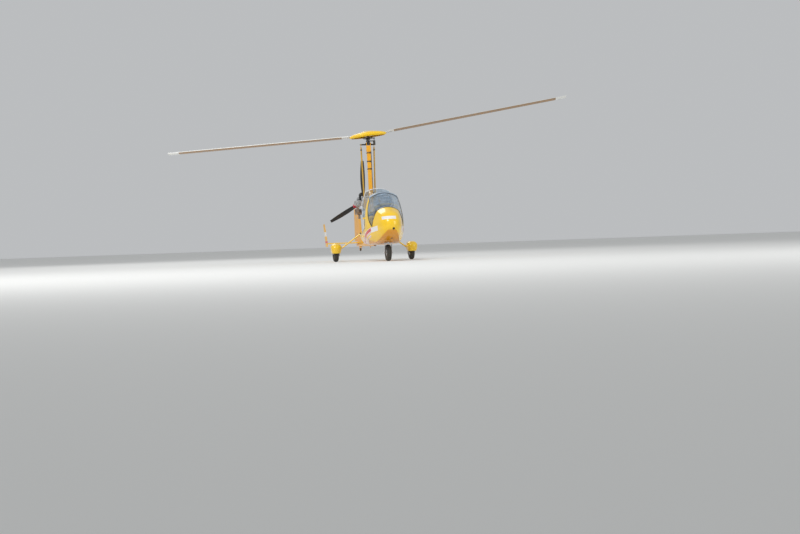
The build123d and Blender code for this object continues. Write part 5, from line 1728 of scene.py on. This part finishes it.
@dataclass
class Framework:
    """Keel, mast and its clamps."""

    shop: Workshop
    clamp_heights: tuple[float, ...] = (1.56, 1.72, 1.9)
    fork_rivet_heights: tuple[float, ...] = (1.96, 1.99, 2.02)
    rod_top: tuple[float, float, float] = (-0.285, 0.14, 2.42)
    rod_foot: tuple[float, float, float] = (-0.165, 0.1, 0.575)
    pipe_foot: float = 0.35
    pipe_gap: float = 0.05

    def build(self) -> None:
        """Dresses the keel and the mast."""
        self.shop.coat("yellow_tube", "keel", "mast")
        self.shop.coat("black_metal", "engine_mount")
        self.shop.coat("yellow_rod", "control_rods")
        self.shop.coat("aluminium", "mixer")
        self.clamps()
        self.mast_line()
        self.foot_bolts()
        self.rod_ends()

    def foot_bolts(self) -> None:
        """Makes the bolts of the mast's foot plate and the rivets of its top."""
        points = [(at(x, side.value * 0.049, 0.375), UP) for side in Side for x in (-0.048, 0.052)]
        mast = self.shop.skin("mast")
        rises = [MAST_FOOT + MAST_UP * rise for rise in self.fork_rivet_heights]
        goals = [foot + MAST_AHEAD * ahead for foot in rises for ahead in (-0.018, 0.018)]
        for side in Side:
            points += mast.hits(goals, PORT * side.value * 0.2)
        self.shop.fasteners("mast_bolts", points, 0.006, 0.0045, 6)

    def rod_ends(self) -> None:
        """Makes the lock nuts at both ends of each control rod."""
        shape = bmesh.new()
        skin = self.shop.skin("control_rods")
        for side in Side:
            top, foot = (Vector((x, side.value * y, z)) for x, y, z in (self.rod_top, self.rod_foot))
            run = (top - foot).normalized()
            for share in (0.05, 0.95):
                centre = foot.lerp(top, share)
                hits = [skin.hit(centre + way * 0.1, centre) for way in (PORT, -PORT, AHEAD, -AHEAD)]
                near = [found[0] for found in hits if found and (found[0] - centre).length < 0.06]
                if len(near) == 4:
                    middle = Vector(((near[2].x + near[3].x) / 2, (near[0].y + near[1].y) / 2, centre.z))
                    collar = (0.0162, -0.012), (0.0185, -0.01), (0.0185, 0.01), (0.0162, 0.012)
                    lathe(shape, collar, middle, run, 24)
        self.shop.settle("rod_collars", shape, "black_metal", "control_rods")

    def clamps(self) -> None:
        """Makes the black clamps round the upper mast."""
        shape = bmesh.new()
        turn = Matrix((MAST_AHEAD, PORT, MAST_UP)).transposed()
        for height in self.clamp_heights:
            centre = MAST_FOOT + MAST_UP * height
            for way, size in ((MAST_AHEAD * 0.0325, (0.005, 0.09, 0.018)), (PORT * 0.0425, (0.07, 0.005, 0.018))):
                for sign in (-1, 1):
                    block(shape, centre + way * sign, Vector(size), turn, 0.0015)
            block(shape, centre + MAST_AHEAD * 0.04 + PORT * 0.02, Vector((0.016, 0.03, 0.024)), turn, 0.003)
        self.shop.settle("mast_clamps", shape, "black_plastic")

    def mast_line(self) -> None:
        """Makes the pipe that runs up the mast to the pre-rotator."""
        shape = bmesh.new()
        start = MAST_FOOT + MAST_UP * self.pipe_foot + PORT * self.pipe_gap
        points = [start + MAST_UP * (step * 0.2) for step in range(9)]
        tube(shape, points, 0.006, 10)
        self.shop.settle("mast_pipe", shape, "hose")


@dataclass
class Tail:
    """Fin, rudder, stabiliser and end fins."""

    shop: Workshop
    hinge_heights: tuple[float, ...] = (0.56, 0.94)
    fin_rivet_station: float = -1.99
    fin_rivet_foot: float = 0.45
    stabiliser_station: float = -1.9
    stabiliser_height: float = 0.385

    def build(self) -> None:
        """Dresses the tail."""
        self.shop.coat("tail", "fin", "rudder")
        self.shop.coat("yellow_shell", "stabiliser")
        self.shop.coat("end_fins", "end_fins")
        self.rivets()
        self.hinges()

    def hinges(self) -> None:
        """Makes the hinge plates of the rudder with their rivets."""
        rows = (("fin", -2.015, "airframe"), ("rudder", -2.082, "rudder"))
        for node, station, body in rows:
            skin = self.shop.skin(node)
            plates = bmesh.new()
            rivets = []
            for height in self.hinge_heights:
                for point, out in skin.hits([at(station, 0, height)], PORT * 0.3, PORT * -0.3):
                    block(plates, point + out * 0.0008, Vector((0.034, 0.0024, 0.05)), bevel=0.0008)
                    corners = [AHEAD * x + UP * z for x in (-0.009, 0.009) for z in (-0.016, 0.016)]
                    rivets += [(point + out * 0.002 + corner, out) for corner in corners]
            self.shop.settle(f"{node}_hinge_plates", plates, "aluminium", body)
            self.shop.fasteners(f"{node}_hinge_rivets", rivets, 0.003, 0.0012, 8, body=body)

    def rivets(self) -> None:
        """Makes the rivet rows on the fin and the stabiliser."""
        points = []
        heights = [at(self.fin_rivet_station, 0, self.fin_rivet_foot + 0.052 * step) for step in range(12)]
        for side in Side:
            points += self.shop.skin("fin").hits(heights, PORT * side.value)
        across = [side.value * (0.08 + 0.045 * step) for side in Side for step in range(14)]
        goals = [at(self.stabiliser_station, y, self.stabiliser_height) for y in across]
        points += self.shop.skin("stabiliser").hits(goals, UP * -0.3, UP * 0.3)
        self.shop.fasteners("tail_rivets", points, 0.0035, 0.0012, 8)


@dataclass
class Engine:
    """Engine, its pipes and hoses, radiator and exhaust."""

    shop: Workshop
    crank_height: float = 1.22
    head_reach: float = 0.28
    case_top: float = 1.315
    case_front: float = -0.306
    gearbox_rear: float = -0.85
    box_place: tuple[float, float, float] = (-0.375, 0, 1.3275)
    port_reach: float = 0.222
    port_height: float = 1.161
    silencer_station: float = -0.8
    silencer_height: float = 1.04
    cap_place: tuple[float, float, float] = (-0.19, 0.36, 1.365)
    plug_reach: float = 0.215
    plug_lift: float = 0.058
    core_station: float = -0.171
    core_height: float = 1.215
    core_start: float = 0.205
    core_width: float = 0.19
    core_gaps: int = 48

    def build(self) -> None:
        """Dresses the engine."""
        self.shop.coat("aluminium", "engine_block", "cylinders")
        self.shop.coat("black_plastic", "intake")
        self.shop.coat("red_filter", "air_filter")
        self.shop.coat("burnt_steel", "exhaust")
        self.shop.coat("black_aluminium", "radiator")
        self.cover_bolts()
        self.leads()
        self.radiator_core()
        self.hoses()
        self.case_bolts()
        self.ignition_box()
        self.exhaust_joints()
        self.radiator_cap()

    def case_bolts(self) -> None:
        """Makes the bolts of the crankcase and the gearbox."""
        rows = [(side.value * 0.058, -0.65 + 0.058 * step) for side in Side for step in range(6)]
        points = [(at(station, y, self.case_top), UP) for y, station in rows]
        gearbox = at(self.gearbox_rear, 0, PROPELLER_HEIGHT)
        points += [(gearbox + way * 0.064, -AHEAD) for way in spokes(8, PORT, UP, 0.5)]
        front = at(self.case_front, 0, self.crank_height)
        points += [(front + way * 0.05, AHEAD) for way in spokes(6, PORT, UP)]
        self.shop.fasteners("crankcase_bolts", points, 0.006, 0.005, 6)

    def ignition_box(self) -> None:
        """Makes the ribbed ignition box on the crankcase."""
        shape = bmesh.new()
        centre = at(*self.box_place)
        block(shape, centre, Vector((0.07, 0.09, 0.025)), bevel=0.004)
        self.shop.settle("ignition_box", shape, "black_plastic")
        ribs = [(centre + PORT * (0.011 * (step - 3)) + UP * 0.0135, AHEAD) for step in range(7)]
        self.shop.bars("ignition_ribs", ribs, "black_metal", (0.058, 0.004, 0.003))

    def exhaust_joints(self) -> None:
        """Makes the flanges at the exhaust ports with their nuts, and the silencer's bands."""
        rings = bmesh.new()
        nuts = []
        for station, side in self.head_places():
            port = at(station, side.value * self.port_reach, self.port_height)
            lathe(rings, ((0.017, -0.008), (0.029, -0.008), (0.029, 0), (0.017, 0)), port, UP, 32, closed=True)
            for way in (-1, 1):
                nuts.append((port + AHEAD * (0.0235 * way) - UP * 0.008, -UP))
        for y in (-0.225, 0.0, 0.225):
            band = ((0.0615, -0.008), (0.0645, -0.007), (0.0645, 0.007), (0.0615, 0.008))
            lathe(rings, band, at(self.silencer_station, y, self.silencer_height), PORT, 48, closed=True)
        self.shop.settle("exhaust_flanges", rings, "steel")
        self.shop.fasteners("exhaust_nuts", nuts, 0.005, 0.006, 6)

    def radiator_cap(self) -> None:
        """Makes the radiator's filler cap."""
        shape = bmesh.new()
        profile = ((0.014, -0.002), (0.014, 0.008), (0.021, 0.009), (0.022, 0.018), (0.019, 0.022), (0, 0.022))
        lathe(shape, profile, at(*self.cap_place), UP, 32)
        self.shop.settle("radiator_cap", shape, "steel")

    def head_places(self) -> list[tuple[float, Side]]:
        """Station and side of each cylinder head."""
        return [(-0.515 + index * 0.075 + side.value * 0.015, side) for side in Side for index in (-1, 1)]

    def cover_bolts(self) -> None:
        """Makes the bolts of the rocker covers."""
        points = [
            (at(station + x, side.value * self.head_reach, self.crank_height + z), PORT * side.value)
            for station, side in self.head_places()
            for x in (-0.038, 0.038)
            for z in (-0.032, 0.032)
        ]
        self.shop.fasteners("rocker_bolts", points, 0.0055, 0.005, 6)

    def leads(self) -> None:
        """Makes the plug caps with their leads to the ignition box."""
        shape = bmesh.new()
        for station, side in self.head_places():
            plug = at(station, side.value * self.plug_reach, self.crank_height + self.plug_lift)
            rise = plug + UP * 0.03
            tube(shape, [plug, plug + UP * 0.012, rise], 0.008, 10)
            bend = rise + UP * 0.03 - PORT * side.value * 0.02
            end = at(-0.38, side.value * 0.03, 1.3155)
            tube(shape, curved([rise, bend, at(-0.4, side.value * 0.06, 1.34), end]), 0.0035, 8)
        self.shop.settle("ignition_leads", shape, "hose")

    def radiator_core(self) -> None:
        """Makes the fins of the radiator's core."""
        gaps = self.core_gaps
        across = [self.core_start + self.core_width * step / gaps for step in range(gaps + 1)]
        points = [(at(self.core_station, y, self.core_height), UP) for y in across]
        self.shop.bars("radiator_fins", points, "aluminium", (0.24, 0.001, 0.004))

    def hoses(self) -> None:
        """Makes the two coolant hoses between radiator and engine."""
        shape = bmesh.new()
        top = [at(-0.2, 0.2, 1.35), at(-0.25, 0.17, 1.36), at(-0.36, 0.11, 1.335), at(-0.42, 0.06, 1.3)]
        low = [at(-0.2, 0.2, 1.09), at(-0.25, 0.17, 1.085), at(-0.33, 0.11, 1.12), at(-0.4, 0.07, 1.15)]
        for route in (top, low):
            tube(shape, curved(route), 0.013, 14)
        self.shop.settle("coolant_hoses", shape, "hose")


@dataclass
class Propeller:
    """Propeller hub and blades."""

    shop: Workshop
    station: float = -1.065
    height: float = PROPELLER_HEIGHT
    bolt_circle: float = 0.06

    def build(self) -> None:
        """Dresses the propeller."""
        self.shop.coat("aluminium", "propeller_hub")
        self.shop.coat("black_blade", "propeller_blades")
        rear = at(self.station - 0.032, 0, self.height)
        points = [(rear + way * self.bolt_circle, -AHEAD) for way in spokes(6, PORT, UP, 0.5)]
        self.shop.fasteners("propeller_bolts", points, 0.007, 0.006, 6, body="propeller")


@dataclass
class Rotor:
    """Rotor head, hub and blades."""

    shop: Workshop
    lip_rise: float = 0.05
    lip_reach: float = 0.1
    root_bolt_start: float = 0.415
    root_bolt_step: float = 0.024

    def build(self) -> None:
        """Dresses the rotor."""
        self.shop.coat("black_metal", "rotor_head")
        # Painted shade: the head bearing and teeter tower take a dark finish for the shadow under the rotor fairing.
        self.shop.coat("dark_metal", "head_bearing", "teeter_tower")
        self.shop.coat("aluminium", "hub_bar")
        self.shop.coat("yellow_shell", "rotor_fairing")
        self.shop.coat("left_blade", "rotor_blade_left")
        self.shop.coat("right_blade", "rotor_blade_right")
        self.root_bolts()
        self.bearing_bolts()

    def bearing_bolts(self) -> None:
        """Makes the bolts round the bearing's lip."""
        skin = self.shop.skin("head_bearing")
        points = []
        for out in spokes(8, HEAD_AHEAD, PORT, 0.5):
            found = skin.hits([HEAD_PIVOT + HEAD_SHAFT * self.lip_rise + out * 0.02], out * 0.3)
            points += [place for place in found if (place[0] - HEAD_PIVOT).length < self.lip_reach]
        self.shop.fasteners("bearing_bolts", points, 0.005, 0.004, 6, body="rotor_head")

    def root_bolts(self) -> None:
        """Makes the bolts that hold each blade to the hub bar."""
        points = []
        for side, name in ((Side.LEFT, "rotor_blade_left"), (Side.RIGHT, "rotor_blade_right")):
            reaches = [self.root_bolt_start + self.root_bolt_step * step for step in range(5)]
            goals = [BLADE_ORIGIN + blade_out(side) * reach for reach in reaches]
            points += self.shop.skin(name).hits(goals, ROTOR_UP * -0.2, ROTOR_UP * 0.2)
        self.shop.fasteners("blade_root_bolts", points, 0.0065, 0.005, 6, body="rotor")


@dataclass
class Studio:
    """Floor, backdrop, lights and camera."""

    distance: float = 38.0
    yaw: float = math.radians(10.1)
    roll: float = math.radians(1.96)
    camera_height: float = 0.373
    aim_right: float = 0.539
    aim_height: float = -0.152
    pixels_per_metre: float = 47.9
    image_width: int = 800

    def build(self) -> None:
        """Makes the studio."""
        self.floor()
        self.light("key", Vector((14, -12, 16)), 2500, 9)
        self.light("fill", Vector((16, 14, 7)), 700, 10)
        self.light("back", Vector((-14, -4, 14)), 700, 9)
        world = bpy.data.worlds.new("studio_air")
        world.use_nodes = True
        Sheet(world.node_tree).fill(world.node_tree.nodes["Background"], Color=(0.86, 0.88, 0.9), Strength=0.58)
        bpy.context.scene.world = world
        bpy.context.scene.view_settings.view_transform = "Standard"
        self.camera()

    def floor(self) -> None:
        """Makes the plain pale floor."""
        shape = bmesh.new()
        bmesh.ops.create_grid(shape, x_segments=1, y_segments=1, size=160)
        mesh = bpy.data.meshes.new("studio_floor")
        shape.to_mesh(mesh)
        shape.free()
        material, sheet, shader = start_material("pale_floor")
        sheet.fill(shader, Base_Color=(0.8, 0.8, 0.78), Roughness=0.9)
        mesh.materials.append(material)
        stand("studio_floor", mesh)

    def light(self, name: str, place: Vector, power: float, size: float) -> None:
        """Adds a soft light that faces the machine.

        Args:
            name: Its name.
            place: Where it hangs.
            power: Its power in watts.
            size: Its width.
        """
        data = bpy.data.lights.new(name, "AREA")
        data.shape = "DISK"
        data.energy = power
        data.size = size
        lamp = stand(name, data)
        lamp.location = place
        lamp.rotation_euler = (Vector((0, 0, 1.2)) - place).to_track_quat("-Z", "Y").to_euler()

    def camera(self) -> None:
        """Adds the camera at the photograph's angle and framing."""
        data = bpy.data.cameras.new("camera")
        camera = stand("camera", data)
        bpy.context.scene.camera = camera
        back = Vector((math.cos(self.yaw), -math.sin(self.yaw), 0))
        right = Vector((math.sin(self.yaw), math.cos(self.yaw), 0))
        aim = at(0, 0, 0) + right * self.aim_right
        aim.z = self.aim_height
        place = aim + back * self.distance
        place.z = self.camera_height
        camera.location = place
        facing = (aim - place).normalized()
        turn = facing.to_track_quat("-Z", "Y").to_matrix() @ Matrix.Rotation(-self.roll, 3, "Z")
        camera.rotation_euler = turn.to_euler()
        frame_width = self.image_width / self.pixels_per_metre
        data.sensor_width = 36
        data.lens = data.sensor_width * self.distance / frame_width
        data.clip_end = 500


def main() -> None:
    """Loads the frame and dresses every sub-assembly in order."""
    logging.basicConfig(level=logging.INFO, format="%(message)s")
    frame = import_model()
    Studio().build()
    shop = Workshop(frame["nodes"], mix_paints(), Rows())
    for assembly in (Pod, Seats, LandingGear, Framework, Tail, Engine, Propeller, Rotor):
        assembly(shop).build()
        log.info("%s done", assembly.__name__)
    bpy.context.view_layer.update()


if __name__ == "__main__":
    main()
